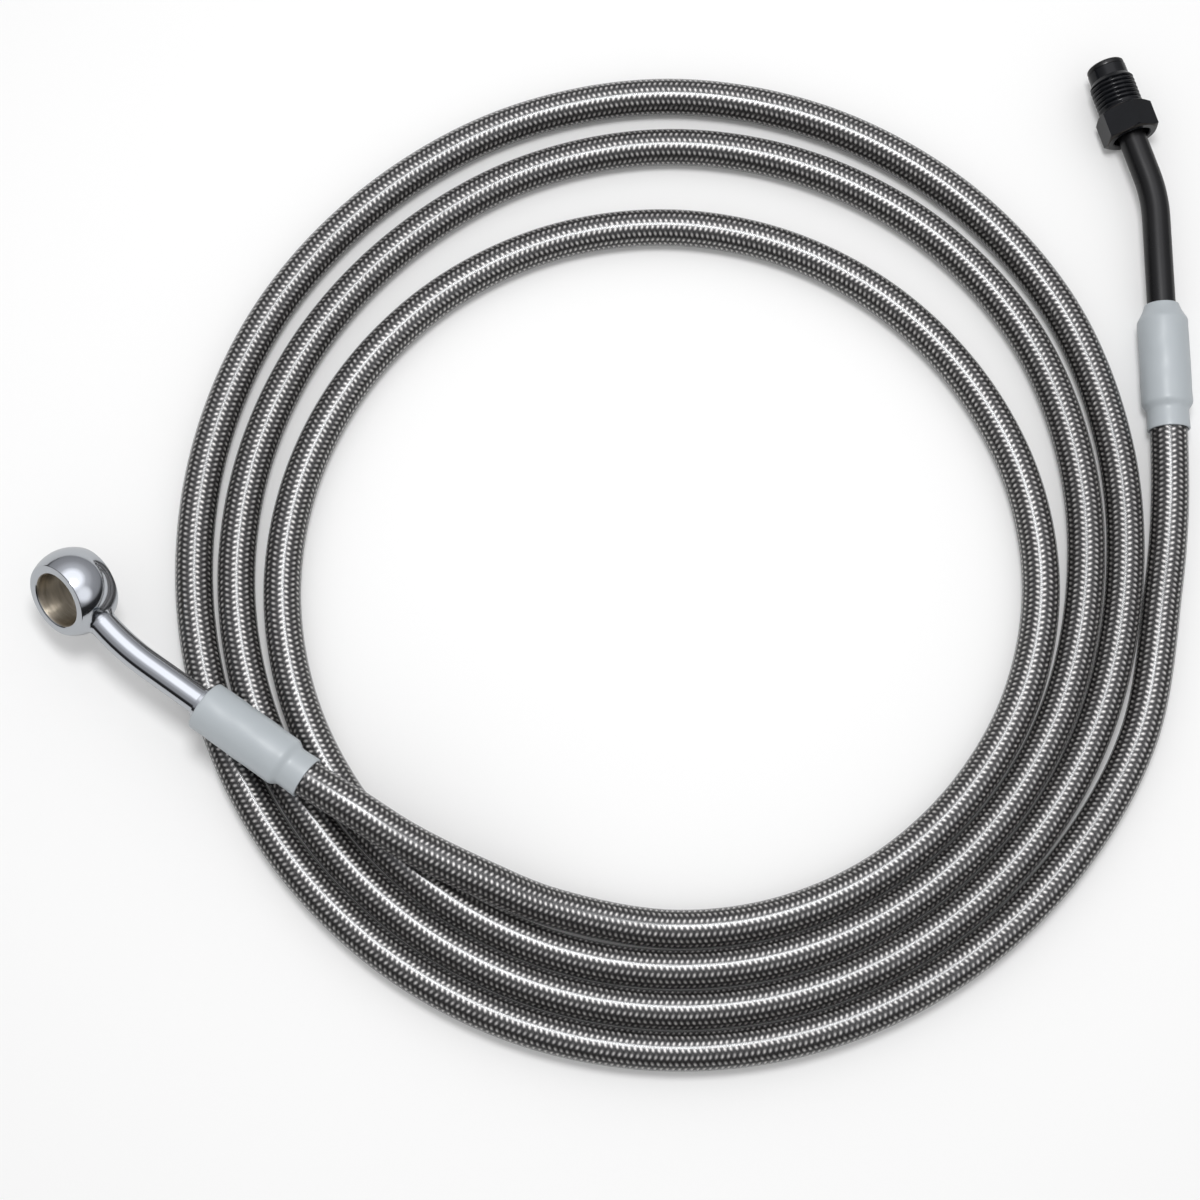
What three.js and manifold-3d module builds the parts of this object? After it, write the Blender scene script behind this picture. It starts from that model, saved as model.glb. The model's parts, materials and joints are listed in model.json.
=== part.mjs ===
// Braided clutch hose, coiled flat: a steel-braided pressure hose in a clear jacket,
// with a banjo fitting at one end and a bent hard tube with a loose flare nut at the other.
// Millimetres, +Z up. The coil lies on z = 0, and x = y = 0 is the middle of its footprint.
import * as THREE from "three";
import { mergeVertices } from "three/addons/utils/BufferGeometryUtils.js";
import Module from "manifold-3d";

const wasm = await Module();
wasm.setup();

// Hose layers
const HOSE_OD = 7.8;
const JACKET_WALL = 0.5;
const BRAID_WALL = 0.6;
const LINER_WALL = 0.75;
const LAYER_GAP = 0.2;
const JACKET_SIDES = 12;
const LAYER_SIDES = 8;

// Coil: radii of the centre line round the coil's own centre, from the bottom of the coil,
// turning towards +X, at each eighth of a turn
const INNER_TURN = [70.2, 73.4, 78.1, 79.9, 81.5, 81.6, 80.8, 78.8];
// Room left between a turn and the one inside it, at each eighth of the turns that follow
const TURN_ROOM = [0, 0, 1.2, 9.8, 11, 5.7, 1.6, 0, 0, 0, 0.2, 2.2, 4.1, 3.5, 0.8, 0, 0, 0, 0.2];
const TURN_GAP = 0.2;
const EIGHTHS_PER_TURN = 8;
const STEPS_PER_TURN = 20;

// Hose from the banjo sleeve down over the inner turn to the floor, then round the coil
const BANJO_ROUTE = [
  [-62.8, -47.2, 12.9],
  [-53.0, -53.3, 11.6],
  [-37.5, -60.7, 8.8],
  [-23.7, -66.0, 5.8],
];
// Hose from the end of the coil to the tube sleeve
const TUBE_ROUTE = [[106.1, 17.5, 4.3]];

// Fitting ends: mouth is where the hose leaves the sleeve, heading is the way the fitting points
const BANJO_MOUTH = [-72.9, -40.9];
const BANJO_HEADING = 144.9;
const TUBE_MOUTH = [106.8, 34.7];
const TUBE_HEADING = 90;
const REST_GAP = 0.3;

// Crimp collars, both alike
const COLLAR_OD = 9;
const COLLAR_BODY = 18.6;
const COLLAR_CONE = 0.8;
const COLLAR_NOSE = 2.1;
const COLLAR_NOSE_WALL = 0.45;
const COLLAR_END_WALL = 0.8;
const CRIMP_GROOVES = 2;
const CRIMP_DEPTH = 0.15;
const CRIMP_WIDTH = 2.4;
const SEAT_GAP = 0.2;

// Heat-shrink sleeves
const SLEEVE_WALL = 0.5;
const SLEEVE_GAP = 0.15;
const SLEEVE_LIP = 5;
const SLEEVE_STEP = 1.4;
const BANJO_SLEEVE_OVERHANG = -1.1;
const TUBE_SLEEVE_OVERHANG = 1;
const SLEEVE_ROUNDING = 0.6;

// Banjo end
const NECK_OD = 5.8;
const NECK_WALL = 1;
const NECK_CORNER = 46.4;
const NECK_BEND = -11.9;
const NECK_BEND_RADIUS = 60;
const EYE_FROM_CORNER = 16.1;
const EYE_OD = 18.2;
const EYE_WIDTH = 9.6;
const EYE_BORE = 11.4;
const EYE_CHAMFER = 0.4;
const EYE_TILT = 36.7;
const EYE_DRILL = 3.2;
const NECK_SOCKET_DEPTH = 1.9;

// Hard-tube end
const TUBE_OD = 6;
const TUBE_WALL = 1;
const TUBE_CORNER = 53;
const TUBE_BEND = 16.5;
const TUBE_BEND_RADIUS = 35;
const TUBE_END_FROM_CORNER = 32.4;
const FLARE_OD = 8.2;
const FLARE_LENGTH = 1.2;

// Flare nut, M10 x 1
const NUT_FLATS = 11;
const NUT_HEX_LENGTH = 6.5;
const NUT_THREAD_OD = 9.75;
const NUT_THREAD_LENGTH = 7.8;
const NUT_PILOT_OD = 8.4;
const NUT_PILOT_LENGTH = 2.1;
const NUT_BORE_GAP = 0.25;
const NUT_COUNTERBORE = 8;
const NUT_COUNTERBORE_DEPTH = 2;
const NUT_CHAMFER = 0.6;
const NUT_ROLL = 30;

// Barbed inserts that carry the hose on both ends
const STEM_BORE = 1.6;
const STEM_IN_TUBE = 6;
const STEM_BARBS = 4;
const BARB_DEPTH = 0.2;
const STEM_TO_COLLAR_MOUTH = 2;

const ROUND_SIDES = 28;
const STEM_SIDES = 16;
const TUBE_SIDES = 12;
const BEND_STEPS = 6;

const jacketRadius = HOSE_OD / 2;
const jacketBore = jacketRadius - JACKET_WALL;
const braidRadius = jacketBore - LAYER_GAP;
const braidBore = braidRadius - BRAID_WALL;
const linerRadius = braidBore - LAYER_GAP;
const linerBore = linerRadius - LINER_WALL;

// Distance from the centre to the flats of a regular section whose corners lie at the radius
const flatRadius = (radius, sides) => radius * Math.cos(Math.PI / sides);

const collarRadius = COLLAR_OD / 2;
const sleeveBore = collarRadius + SLEEVE_GAP;
const sleeveRadius = sleeveBore + SLEEVE_WALL;
const lipBore = jacketRadius + SLEEVE_GAP;
const lipRadius = lipBore + SLEEVE_WALL;
const collarMouth = SLEEVE_LIP + SEAT_GAP * 2;
const collarNose = collarMouth + COLLAR_BODY + COLLAR_CONE;
const collarEnd = collarNose + COLLAR_NOSE;
const collarFloor = collarMouth + COLLAR_BODY - COLLAR_END_WALL;
const hoseEnd = collarFloor - REST_GAP;
const jacketEnd = SLEEVE_LIP;
const banjoSleeveEnd = collarEnd + BANJO_SLEEVE_OVERHANG;
const tubeSleeveEnd = collarEnd + TUBE_SLEEVE_OVERHANG;
const nutCorner = NUT_FLATS / Math.sqrt(3);
const nutLength = NUT_HEX_LENGTH + NUT_THREAD_LENGTH + NUT_PILOT_LENGTH;

// A curve whose stations are its own points, so that neighbouring turns bend at the same
// places and stay an even distance apart
class StationCurve extends THREE.CatmullRomCurve3 {
  constructor(points) {
    super(points, false, "centripetal");
  }
  getUtoTmapping(u) {
    return u;
  }
}

// A regular section with its corners at the radius
function sectionPoints(radius, sides) {
  return Array.from({ length: sides }, (_, i) => {
    const angle = ((i + 0.5) / sides) * 2 * Math.PI;
    return new THREE.Vector2(radius * Math.cos(angle), radius * Math.sin(angle));
  });
}

function tubeAlong(points, radius, sides, bore, boreSides = sides) {
  const section = new THREE.Shape(sectionPoints(radius, sides));
  section.holes.push(new THREE.Path(sectionPoints(bore, boreSides)));
  return new THREE.ExtrudeGeometry(section, {
    steps: points.length - 1,
    extrudePath: new StationCurve(points),
    curveSegments: 1,
  });
}

// A turned ring along local +Z from a closed outline of [radius, z] points
function turned(outline, sides = ROUND_SIDES) {
  const closed = [...outline, outline[0]].map(([r, z]) => new THREE.Vector2(r, z));
  return new THREE.LatheGeometry(closed, sides).rotateX(Math.PI / 2);
}

function solidOf(geometry) {
  const bare = geometry.clone();
  bare.deleteAttribute("normal");
  bare.deleteAttribute("uv");
  const merged = mergeVertices(bare, 1e-4);
  const solid = new wasm.Manifold(
    new wasm.Mesh({
      numProp: 3,
      vertProperties: merged.attributes.position.array,
      triVerts: new Uint32Array(merged.index.array),
    }),
  );
  if (solid.volume() < 0) throw new Error("a solid is inside out");
  return solid;
}

function geometryOf(solid) {
  const { vertProperties, triVerts } = solid.getMesh();
  const geometry = new THREE.BufferGeometry();
  geometry.setAttribute("position", new THREE.BufferAttribute(vertProperties, 3));
  geometry.setIndex(new THREE.BufferAttribute(triVerts, 1));
  return geometry.toNonIndexed();
}

// Places along one fitting end: distance runs from the mouth of the sleeve to the fitting
function endAxis([x, y], z, heading, climb = 0) {
  const angle = THREE.MathUtils.degToRad(heading);
  const mouth = new THREE.Vector3(x, y, z);
  const direction = new THREE.Vector3(Math.cos(angle), Math.sin(angle), climb).normalize();
  const at = (distance) => mouth.clone().addScaledVector(direction, distance);
  return { direction, at };
}

// Centre line of a tube with one bend: straight to the corner, an arc inside it, straight on
function bentLine(start, corner, end, radius) {
  const inward = corner.clone().sub(start).normalize();
  const outward = end.clone().sub(corner).normalize();
  const turn = inward.angleTo(outward);
  const tangent = radius * Math.tan(turn / 2);
  const axis = inward.clone().cross(outward).normalize();
  const toCentre = axis.clone().cross(inward).multiplyScalar(radius);
  const arcStart = corner.clone().addScaledVector(inward, -tangent);
  const centre = arcStart.clone().add(toCentre);
  const arc = Array.from({ length: BEND_STEPS + 1 }, (_, i) =>
    toCentre.clone().negate().applyAxisAngle(axis, (turn * i) / BEND_STEPS).add(centre),
  );
  return [start, ...arc, end];
}

const finish = (color, roughness, metalness, more = {}) =>
  new THREE.MeshStandardMaterial({ color, roughness, metalness, ...more });
const finishes = {
  chrome: finish(0xd9dce0, 0.12, 1),
  steel: finish(0xb8bbbe, 0.35, 1),
  braid: finish(0x77746f, 0.35, 1),
  clearJacket: finish(0xe8ecee, 0.1, 0, { transparent: true, opacity: 0.3 }),
  liner: finish(0xf0efe8, 0.5, 0),
  sleeve: finish(0xb9c2c6, 0.5, 0),
  blackTube: finish(0x16171a, 0.35, 0.4),
  blackNut: finish(0x1d1f23, 0.5, 0.6),
};

const group = new THREE.Group();

function add(name, geometry, material, position, basis) {
  const mesh = new THREE.Mesh(geometry, material);
  mesh.name = name;
  if (basis) mesh.quaternion.setFromRotationMatrix(basis);
  if (position) mesh.position.copy(position);
  group.add(mesh);
  return mesh;
}

// Rotation that takes local +Z to the direction, with local +X as near to the guide as it can be
function facing(direction, guide = new THREE.Vector3(0, 0, 1)) {
  const y = direction.clone().cross(guide).normalize();
  const x = y.clone().cross(direction);
  return new THREE.Matrix4().makeBasis(x, y, direction);
}

// Fitting ends: the banjo sleeve lies over the coil, and the tube end rises gently from its
// sleeve, which lies on the floor, to the nut, which stands on a corner of its hexagon
const overCoil = HOSE_OD + REST_GAP + sleeveRadius;
const onFloor = sleeveRadius;
const banjoEnd = endAxis(BANJO_MOUTH, overCoil, BANJO_HEADING);
const climb = (nutCorner - onFloor) / TUBE_CORNER;
const tubeEnd = endAxis(TUBE_MOUTH, onFloor, TUBE_HEADING, climb);

// Centre line of the coil
const turnRadii = [...INNER_TURN];
TURN_ROOM.forEach((room, i) => turnRadii.push(turnRadii[i] + HOSE_OD + TURN_GAP + room));
const radiusCurve = new THREE.SplineCurve(turnRadii.map((r, i) => new THREE.Vector2(i, r)));
const coilTurns = (turnRadii.length - 1) / EIGHTHS_PER_TURN;
const coilSteps = Math.round(coilTurns * STEPS_PER_TURN);
const coilPoints = Array.from({ length: coilSteps + 1 }, (_, i) => {
  const along = i / coilSteps;
  const angle = (along * coilTurns - 0.25) * 2 * Math.PI;
  const radius = radiusCurve.getPoint(along).y;
  return new THREE.Vector3(radius * Math.cos(angle), radius * Math.sin(angle), jacketRadius);
});

// The whole route, from the end of the liner in one collar to its end in the other
const asVectors = (points) => points.map(([x, y, z]) => new THREE.Vector3(x, y, z));
const fullRoute = [
  banjoEnd.at(hoseEnd),
  banjoEnd.at(jacketEnd),
  banjoEnd.at(0),
  ...asVectors(BANJO_ROUTE),
  ...coilPoints,
  ...asVectors(TUBE_ROUTE),
  tubeEnd.at(0),
  tubeEnd.at(jacketEnd),
  tubeEnd.at(hoseEnd),
];
const jacketRoute = fullRoute.slice(1, -1);

add("hose_liner", tubeAlong(fullRoute, linerRadius, LAYER_SIDES, linerBore), finishes.liner);
add("hose_braid", tubeAlong(fullRoute, braidRadius, LAYER_SIDES, braidBore), finishes.braid);
add(
  "hose_jacket",
  tubeAlong(jacketRoute, jacketRadius, JACKET_SIDES, jacketBore, LAYER_SIDES),
  finishes.clearJacket,
);

// Crimp collar round the hose end: open towards the hose, closed round the tube by its nose
function collarGeometry(tubeRadius) {
  const hole = tubeRadius + SEAT_GAP;
  const nose = hole + COLLAR_NOSE_WALL;
  const bore = braidRadius + SEAT_GAP;
  const outer = [[collarRadius, collarMouth]];
  const pitch = COLLAR_BODY / CRIMP_GROOVES;
  for (let i = 0; i < CRIMP_GROOVES; i += 1) {
    const middle = collarMouth + pitch * (i + 0.5);
    outer.push(
      [collarRadius, middle - CRIMP_WIDTH / 2 - CRIMP_DEPTH],
      [collarRadius - CRIMP_DEPTH, middle - CRIMP_WIDTH / 2],
      [collarRadius - CRIMP_DEPTH, middle + CRIMP_WIDTH / 2],
      [collarRadius, middle + CRIMP_WIDTH / 2 + CRIMP_DEPTH],
    );
  }
  return turned([
    ...outer,
    [collarRadius, collarMouth + COLLAR_BODY],
    [nose, collarNose],
    [nose, collarEnd],
    [hole, collarEnd],
    [hole, collarFloor],
    [bore, collarFloor],
    [bore, collarMouth],
  ]);
}

// Barbed insert: its plain end sits in the tube's bore and its barbed end in the liner
function stemGeometry(tubeBore) {
  const shank = flatRadius(tubeBore, TUBE_SIDES) - SEAT_GAP;
  const crest = flatRadius(linerBore, LAYER_SIDES) - SEAT_GAP;
  const bore = STEM_BORE / 2;
  const tail = collarMouth + STEM_TO_COLLAR_MOUTH;
  const shoulder = collarFloor + SEAT_GAP;
  const pitch = (shoulder - tail) / (STEM_BARBS + 1);
  const barbs = [];
  for (let i = 0; i < STEM_BARBS; i += 1) {
    barbs.push([crest - BARB_DEPTH, tail + pitch * i], [crest, tail + pitch * (i + 0.9)]);
  }
  return turned(
    [
      ...barbs,
      [crest - BARB_DEPTH, tail + pitch * STEM_BARBS],
      [crest - BARB_DEPTH, shoulder],
      [shank, shoulder],
      [shank, shoulder + STEM_IN_TUBE],
      [bore, shoulder + STEM_IN_TUBE],
      [bore, tail],
    ],
    STEM_SIDES,
  );
}

// Heat-shrink sleeve: a lip on the jacket, a step up to the collar, and its own far end
function sleeveGeometry(farEnd) {
  const outer = [
    [lipRadius, 0],
    [lipRadius, SLEEVE_LIP - SLEEVE_STEP / 2],
    [sleeveRadius, SLEEVE_LIP + SLEEVE_STEP / 2],
  ];
  const inner = [
    [sleeveBore, SLEEVE_LIP + SEAT_GAP],
    [lipBore, SLEEVE_LIP - SEAT_GAP],
    [lipBore, 0],
  ];
  return turned([...outer, ...farEnd, ...inner]);
}

const neckRadius = NECK_OD / 2;
const neckBore = neckRadius - NECK_WALL;
const banjoBasis = facing(banjoEnd.direction);
const banjoOrigin = banjoEnd.at(0);

add("banjo_crimp_collar", collarGeometry(neckRadius), finishes.chrome, banjoOrigin, banjoBasis);
add("banjo_stem", stemGeometry(neckBore), finishes.steel, banjoOrigin, banjoBasis);
add(
  "banjo_sleeve",
  sleeveGeometry([
    [sleeveRadius, banjoSleeveEnd - SLEEVE_ROUNDING],
    [sleeveRadius - SLEEVE_ROUNDING / 2, banjoSleeveEnd],
    [sleeveBore, banjoSleeveEnd],
  ]),
  finishes.sleeve,
  banjoOrigin,
  banjoBasis,
);

// Banjo neck and eye
const neckCorner = banjoEnd.at(NECK_CORNER);
const eyeHeading = banjoEnd.direction
  .clone()
  .applyAxisAngle(new THREE.Vector3(0, 0, 1), THREE.MathUtils.degToRad(NECK_BEND));
const eyeCentre = neckCorner.clone().addScaledVector(eyeHeading, EYE_FROM_CORNER);
const socketBottom = EYE_OD / 2 - NECK_SOCKET_DEPTH;
const neckTip = eyeCentre.clone().addScaledVector(eyeHeading, -socketBottom - REST_GAP);
const neckLine = bentLine(
  banjoEnd.at(collarFloor + SEAT_GAP),
  neckCorner,
  neckTip,
  NECK_BEND_RADIUS,
);
add("banjo_neck", tubeAlong(neckLine, neckRadius, TUBE_SIDES, neckBore), finishes.chrome);

// Eye: a ball with two flat sealing faces, bored through, with a socket for the neck
function eyeGeometry() {
  const half = EYE_WIDTH / 2;
  const bore = EYE_BORE / 2;
  const ball = EYE_OD / 2;
  const rimAngle = Math.asin(half / ball);
  const arcSteps = 10;
  const arc = Array.from({ length: arcSteps + 1 }, (_, i) => {
    const angle = -rimAngle + (2 * rimAngle * i) / arcSteps;
    return [ball * Math.cos(angle), ball * Math.sin(angle)];
  });
  const body = solidOf(
    turned([
      ...arc,
      [bore + EYE_CHAMFER, half],
      [bore, half - EYE_CHAMFER],
      [bore, -half + EYE_CHAMFER],
      [bore + EYE_CHAMFER, -half],
    ]),
  );
  const sidewaysRod = (diameter, from, to) =>
    new THREE.CylinderGeometry(diameter / 2, diameter / 2, to - from, TUBE_SIDES * 2)
      .rotateZ(-Math.PI / 2)
      .translate((from + to) / 2, 0, 0);
  const socketDiameter = NECK_OD + 2 * SEAT_GAP;
  const socket = solidOf(sidewaysRod(socketDiameter, socketBottom, EYE_OD));
  const drill = solidOf(sidewaysRod(EYE_DRILL, 0, socketBottom + EYE_CHAMFER));
  return geometryOf(body.subtract(socket).subtract(drill));
}

const towardsNeck = eyeHeading.clone().negate();
const eyeSide = towardsNeck.clone().cross(new THREE.Vector3(0, 0, 1));
const tilt = THREE.MathUtils.degToRad(EYE_TILT);
const boreAxis = eyeSide
  .multiplyScalar(Math.cos(tilt))
  .add(new THREE.Vector3(0, 0, Math.sin(tilt)));
add("banjo_eye", eyeGeometry(), finishes.chrome, eyeCentre, facing(boreAxis, towardsNeck));

// Hard-tube end
const tubeRadius = TUBE_OD / 2;
const tubeBore = tubeRadius - TUBE_WALL;
const tubeBasis = facing(tubeEnd.direction);
const tubeOrigin = tubeEnd.at(0);
const tightBore = tubeRadius + SLEEVE_GAP;
const noseClearance = tubeRadius + SEAT_GAP + COLLAR_NOSE_WALL + SEAT_GAP;

add("tube_crimp_collar", collarGeometry(tubeRadius), finishes.steel, tubeOrigin, tubeBasis);
add("tube_stem", stemGeometry(tubeBore), finishes.steel, tubeOrigin, tubeBasis);
add(
  "tube_sleeve",
  sleeveGeometry([
    [sleeveRadius, collarNose - COLLAR_CONE],
    [tightBore + SLEEVE_WALL, tubeSleeveEnd],
    [tightBore, tubeSleeveEnd],
    [tightBore, collarEnd + SEAT_GAP],
    [noseClearance, collarEnd + SEAT_GAP],
    [sleeveBore, collarNose - COLLAR_CONE / 2],
  ]),
  finishes.sleeve,
  tubeOrigin,
  tubeBasis,
);

const tubeCorner = tubeEnd.at(TUBE_CORNER);
const nutHeading = new THREE.Vector3(tubeEnd.direction.x, tubeEnd.direction.y, 0)
  .normalize()
  .applyAxisAngle(new THREE.Vector3(0, 0, 1), THREE.MathUtils.degToRad(TUBE_BEND));
const tubeTip = tubeCorner.clone().addScaledVector(nutHeading, TUBE_END_FROM_CORNER);
const tubeLine = bentLine(
  tubeEnd.at(collarFloor + SEAT_GAP),
  tubeCorner,
  tubeTip,
  TUBE_BEND_RADIUS,
);
const nutBasis = facing(nutHeading);

// Flare that the nut presses on, at the very end of the tube
function flareSolid() {
  const flare = FLARE_OD / 2;
  const throat = tubeBore;
  const ring = turned([
    [flare, -FLARE_LENGTH],
    [flare, -FLARE_LENGTH / 4],
    [flare - FLARE_LENGTH / 4, 0],
    [tubeRadius, 0],
    [throat, -FLARE_LENGTH / 2],
    [throat, -FLARE_LENGTH],
  ]);
  return solidOf(ring.applyMatrix4(nutBasis).translate(...tubeTip));
}

const tubeBody = solidOf(tubeAlong(tubeLine, tubeRadius, TUBE_SIDES, tubeBore));
const flareMouth = turned([
  [0, -FLARE_LENGTH / 2],
  [tubeBore, -FLARE_LENGTH / 2],
  [tubeRadius, 0],
  [tubeRadius, FLARE_LENGTH],
  [0, FLARE_LENGTH],
]);
const mouthCut = solidOf(flareMouth.applyMatrix4(nutBasis).translate(...tubeTip));
add("hard_tube", geometryOf(tubeBody.add(flareSolid()).subtract(mouthCut)), finishes.blackTube);

// Flare nut: hexagon, threaded shank and plain pilot, loose on the tube behind the flare
function nutGeometry() {
  const bore = tubeRadius + NUT_BORE_GAP;
  const thread = NUT_THREAD_OD / 2;
  const pilot = NUT_PILOT_OD / 2;
  const threadEnd = NUT_HEX_LENGTH + NUT_THREAD_LENGTH;
  const hexagon = new THREE.CylinderGeometry(nutCorner, nutCorner, NUT_HEX_LENGTH, 6)
    .rotateX(Math.PI / 2)
    .translate(0, 0, NUT_HEX_LENGTH / 2);
  const chamfered = turned([
    [NUT_FLATS / 2 - NUT_CHAMFER / 4, 0],
    [nutCorner, NUT_CHAMFER],
    [nutCorner, NUT_HEX_LENGTH - NUT_CHAMFER],
    [NUT_FLATS / 2 - NUT_CHAMFER / 4, NUT_HEX_LENGTH],
    [0, NUT_HEX_LENGTH],
    [0, 0],
  ]);
  const shank = turned([
    [thread, NUT_HEX_LENGTH - NUT_CHAMFER],
    [thread, threadEnd - NUT_CHAMFER],
    [pilot, threadEnd],
    [pilot, nutLength],
    [0, nutLength],
    [0, NUT_HEX_LENGTH - NUT_CHAMFER],
  ]);
  const hollow = turned([
    [NUT_COUNTERBORE / 2, -NUT_CHAMFER],
    [NUT_COUNTERBORE / 2, NUT_COUNTERBORE_DEPTH],
    [bore, NUT_COUNTERBORE_DEPTH + NUT_CHAMFER],
    [bore, nutLength + NUT_CHAMFER],
    [0, nutLength + NUT_CHAMFER],
    [0, -NUT_CHAMFER],
  ]);
  const outside = solidOf(hexagon).intersect(solidOf(chamfered)).add(solidOf(shank));
  return geometryOf(outside.subtract(solidOf(hollow)));
}

const nutBack = tubeTip
  .clone()
  .addScaledVector(nutHeading, -(FLARE_LENGTH + REST_GAP + nutLength));
const rolled = nutBasis
  .clone()
  .multiply(new THREE.Matrix4().makeRotationZ(THREE.MathUtils.degToRad(NUT_ROLL)));
add("flare_nut", nutGeometry(), finishes.blackNut, nutBack, rolled);

// The footprint is centred on the origin, and its lowest point lies on z = 0
const extent = new THREE.Box3().setFromObject(group, true);
const middle = extent.getCenter(new THREE.Vector3());
const toOrigin = new THREE.Vector3(-middle.x, -middle.y, -extent.min.z);
group.children.forEach((mesh) => mesh.position.add(toOrigin));

export default group;
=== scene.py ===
"""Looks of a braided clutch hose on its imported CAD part: a coil of steel-braided hose in a
clear jacket, a chromed banjo end, a bent black tube end with a loose flare nut, and two
heat-shrink sleeves. Metres, +Z up. The coil lies on z = 0."""

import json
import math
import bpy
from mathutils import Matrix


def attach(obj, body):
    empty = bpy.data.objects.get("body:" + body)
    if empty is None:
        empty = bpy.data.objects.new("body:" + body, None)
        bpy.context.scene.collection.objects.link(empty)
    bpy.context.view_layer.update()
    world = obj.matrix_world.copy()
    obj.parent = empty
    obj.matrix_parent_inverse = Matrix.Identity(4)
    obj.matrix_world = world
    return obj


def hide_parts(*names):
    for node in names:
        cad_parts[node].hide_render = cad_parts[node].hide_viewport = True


bl_info = {
    "name": "Braided Clutch Hose",
    "version": (1, 0, 0),
    "blender": (4, 5, 0),
    "location": "3D View > Sidebar > Clutch Hose",
    "description": "Builds a coiled braided clutch hose with its fittings and a soft studio",
    "category": "Add Mesh",
}

import bpy
import numpy as np
from mathutils import Matrix, Vector, noise

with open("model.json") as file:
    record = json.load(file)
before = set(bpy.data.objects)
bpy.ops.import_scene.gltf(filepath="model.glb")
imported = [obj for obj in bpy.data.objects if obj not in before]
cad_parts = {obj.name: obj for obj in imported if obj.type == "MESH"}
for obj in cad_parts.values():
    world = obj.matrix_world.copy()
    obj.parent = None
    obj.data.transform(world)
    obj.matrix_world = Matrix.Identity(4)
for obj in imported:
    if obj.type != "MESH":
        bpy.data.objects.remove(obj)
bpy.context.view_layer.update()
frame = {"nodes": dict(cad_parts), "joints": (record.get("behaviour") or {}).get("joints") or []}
MM = 0.001
HOSE_BODY = "hose_assembly"
NUT_BODY = "nut"

# Hose layers, as in the solids
HOSE_RADIUS = 3.9 * MM
BRAID_RADIUS = 3.2 * MM
LINER_RADIUS = 2.4 * MM
LINER_BORE = 1.65 * MM

# Coil: radii of the centre line at each eighth of a turn, and the room between turns
INNER_TURN = [70.2, 73.4, 78.1, 79.9, 81.5, 81.6, 80.8, 78.8]
TURN_ROOM = [0, 0, 1.2, 9.8, 11, 5.7, 1.6, 0, 0, 0, 0.2, 2.2, 4.1, 3.5, 0.8, 0, 0, 0, 0.2]
TURN_GAP = 0.2
EIGHTHS_PER_TURN = 8
# Turns before +X at which the coil starts
COIL_START = 0.25
STEPS_PER_TURN = 20

# Route of the hose on both sides of the coil, and the two sleeves' mouths
BANJO_ROUTE = [[-62.8, -47.2, 12.9], [-53, -53.3, 11.6], [-37.5, -60.7, 8.8], [-23.7, -66, 5.8]]
TUBE_ROUTE = [[106.1, 17.5, 4.3]]
BANJO_MOUTH = [-72.9, -40.9]
BANJO_HEADING = 144.9
TUBE_MOUTH = [106.8, 34.7]
TUBE_HEADING = 90
REST_GAP = 0.3 * MM

# Crimp collars and sleeves, distances along each end from the sleeve's mouth
COLLAR_RADIUS = 4.5 * MM
COLLAR_MOUTH = 5.4 * MM
COLLAR_BODY = 18.6 * MM
COLLAR_CONE = 0.8 * MM
COLLAR_NOSE = 2.1 * MM
COLLAR_NOSE_WALL = 0.45 * MM
COLLAR_END_WALL = 0.8 * MM
CRIMP_GROOVES = 2
CRIMP_DEPTH = 0.15 * MM
CRIMP_WIDTH = 2.4 * MM
SEAT_GAP = 0.2 * MM
SLEEVE_LIP = 5 * MM
SLEEVE_RADIUS = 5.15 * MM
SLEEVE_BORE = 4.65 * MM
LIP_RADIUS = 4.55 * MM
LIP_BORE = 4.05 * MM
BANJO_SLEEVE_END = 25.8 * MM
TUBE_SLEEVE_END = 27.9 * MM

# Banjo end
NECK_RADIUS = 2.9 * MM
NECK_BORE = 1.9 * MM
NECK_CORNER = 46.4 * MM
NECK_BEND = -11.9
NECK_BEND_RADIUS = 60 * MM
EYE_FROM_CORNER = 16.1 * MM
EYE_RADIUS = 9.1 * MM
EYE_HALF_WIDTH = 4.8 * MM
EYE_BORE_RADIUS = 5.7 * MM
EYE_CHAMFER = 0.4 * MM
EYE_TILT = 36.7
NECK_SOCKET_DEPTH = 1.9 * MM

# Hard-tube end
TUBE_RADIUS = 3 * MM
TUBE_BORE = 2 * MM
TUBE_CORNER = 53 * MM
TUBE_BEND = 16.5
TUBE_BEND_RADIUS = 35 * MM
TUBE_END_FROM_CORNER = 32.4 * MM
FLARE_RADIUS = 4.1 * MM
FLARE_LENGTH = 1.2 * MM

# Flare nut
NUT_FLATS = 11 * MM
NUT_HEX_LENGTH = 6.5 * MM
NUT_THREAD_RADIUS = 4.875 * MM
NUT_THREAD_LENGTH = 7.8 * MM
NUT_PILOT_RADIUS = 4.2 * MM
NUT_PILOT_LENGTH = 2.1 * MM
NUT_BORE_RADIUS = 3.25 * MM
NUT_COUNTERBORE_RADIUS = 4 * MM
NUT_COUNTERBORE_DEPTH = 2 * MM
NUT_CHAMFER = 0.6 * MM

UP = np.array([0.0, 0.0, 1.0])
SEED = 7


def unit(v):
    v = np.asarray(v, float)
    return v / np.linalg.norm(v, axis=-1, keepdims=True)


def turned_about(v, axis, degrees):
    return np.array(Matrix.Rotation(math.radians(degrees), 3, Vector(axis)) @ Vector(v))


def spline_value(values, share):
    """Uniform Catmull-Rom through the values, each end repeated, at a share of the way."""
    last = len(values) - 1
    place = share * last
    i = min(int(place), last)
    w = place - i
    p0, p1 = values[max(i - 1, 0)], values[i]
    p2, p3 = values[min(i + 1, last)], values[min(i + 2, last)]
    v0, v1 = (p2 - p0) / 2, (p3 - p1) / 2
    return (
        (2 * p1 - 2 * p2 + v0 + v1) * w**3 + (-3 * p1 + 3 * p2 - 2 * v0 - v1) * w**2 + v0 * w + p1
    )


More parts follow.
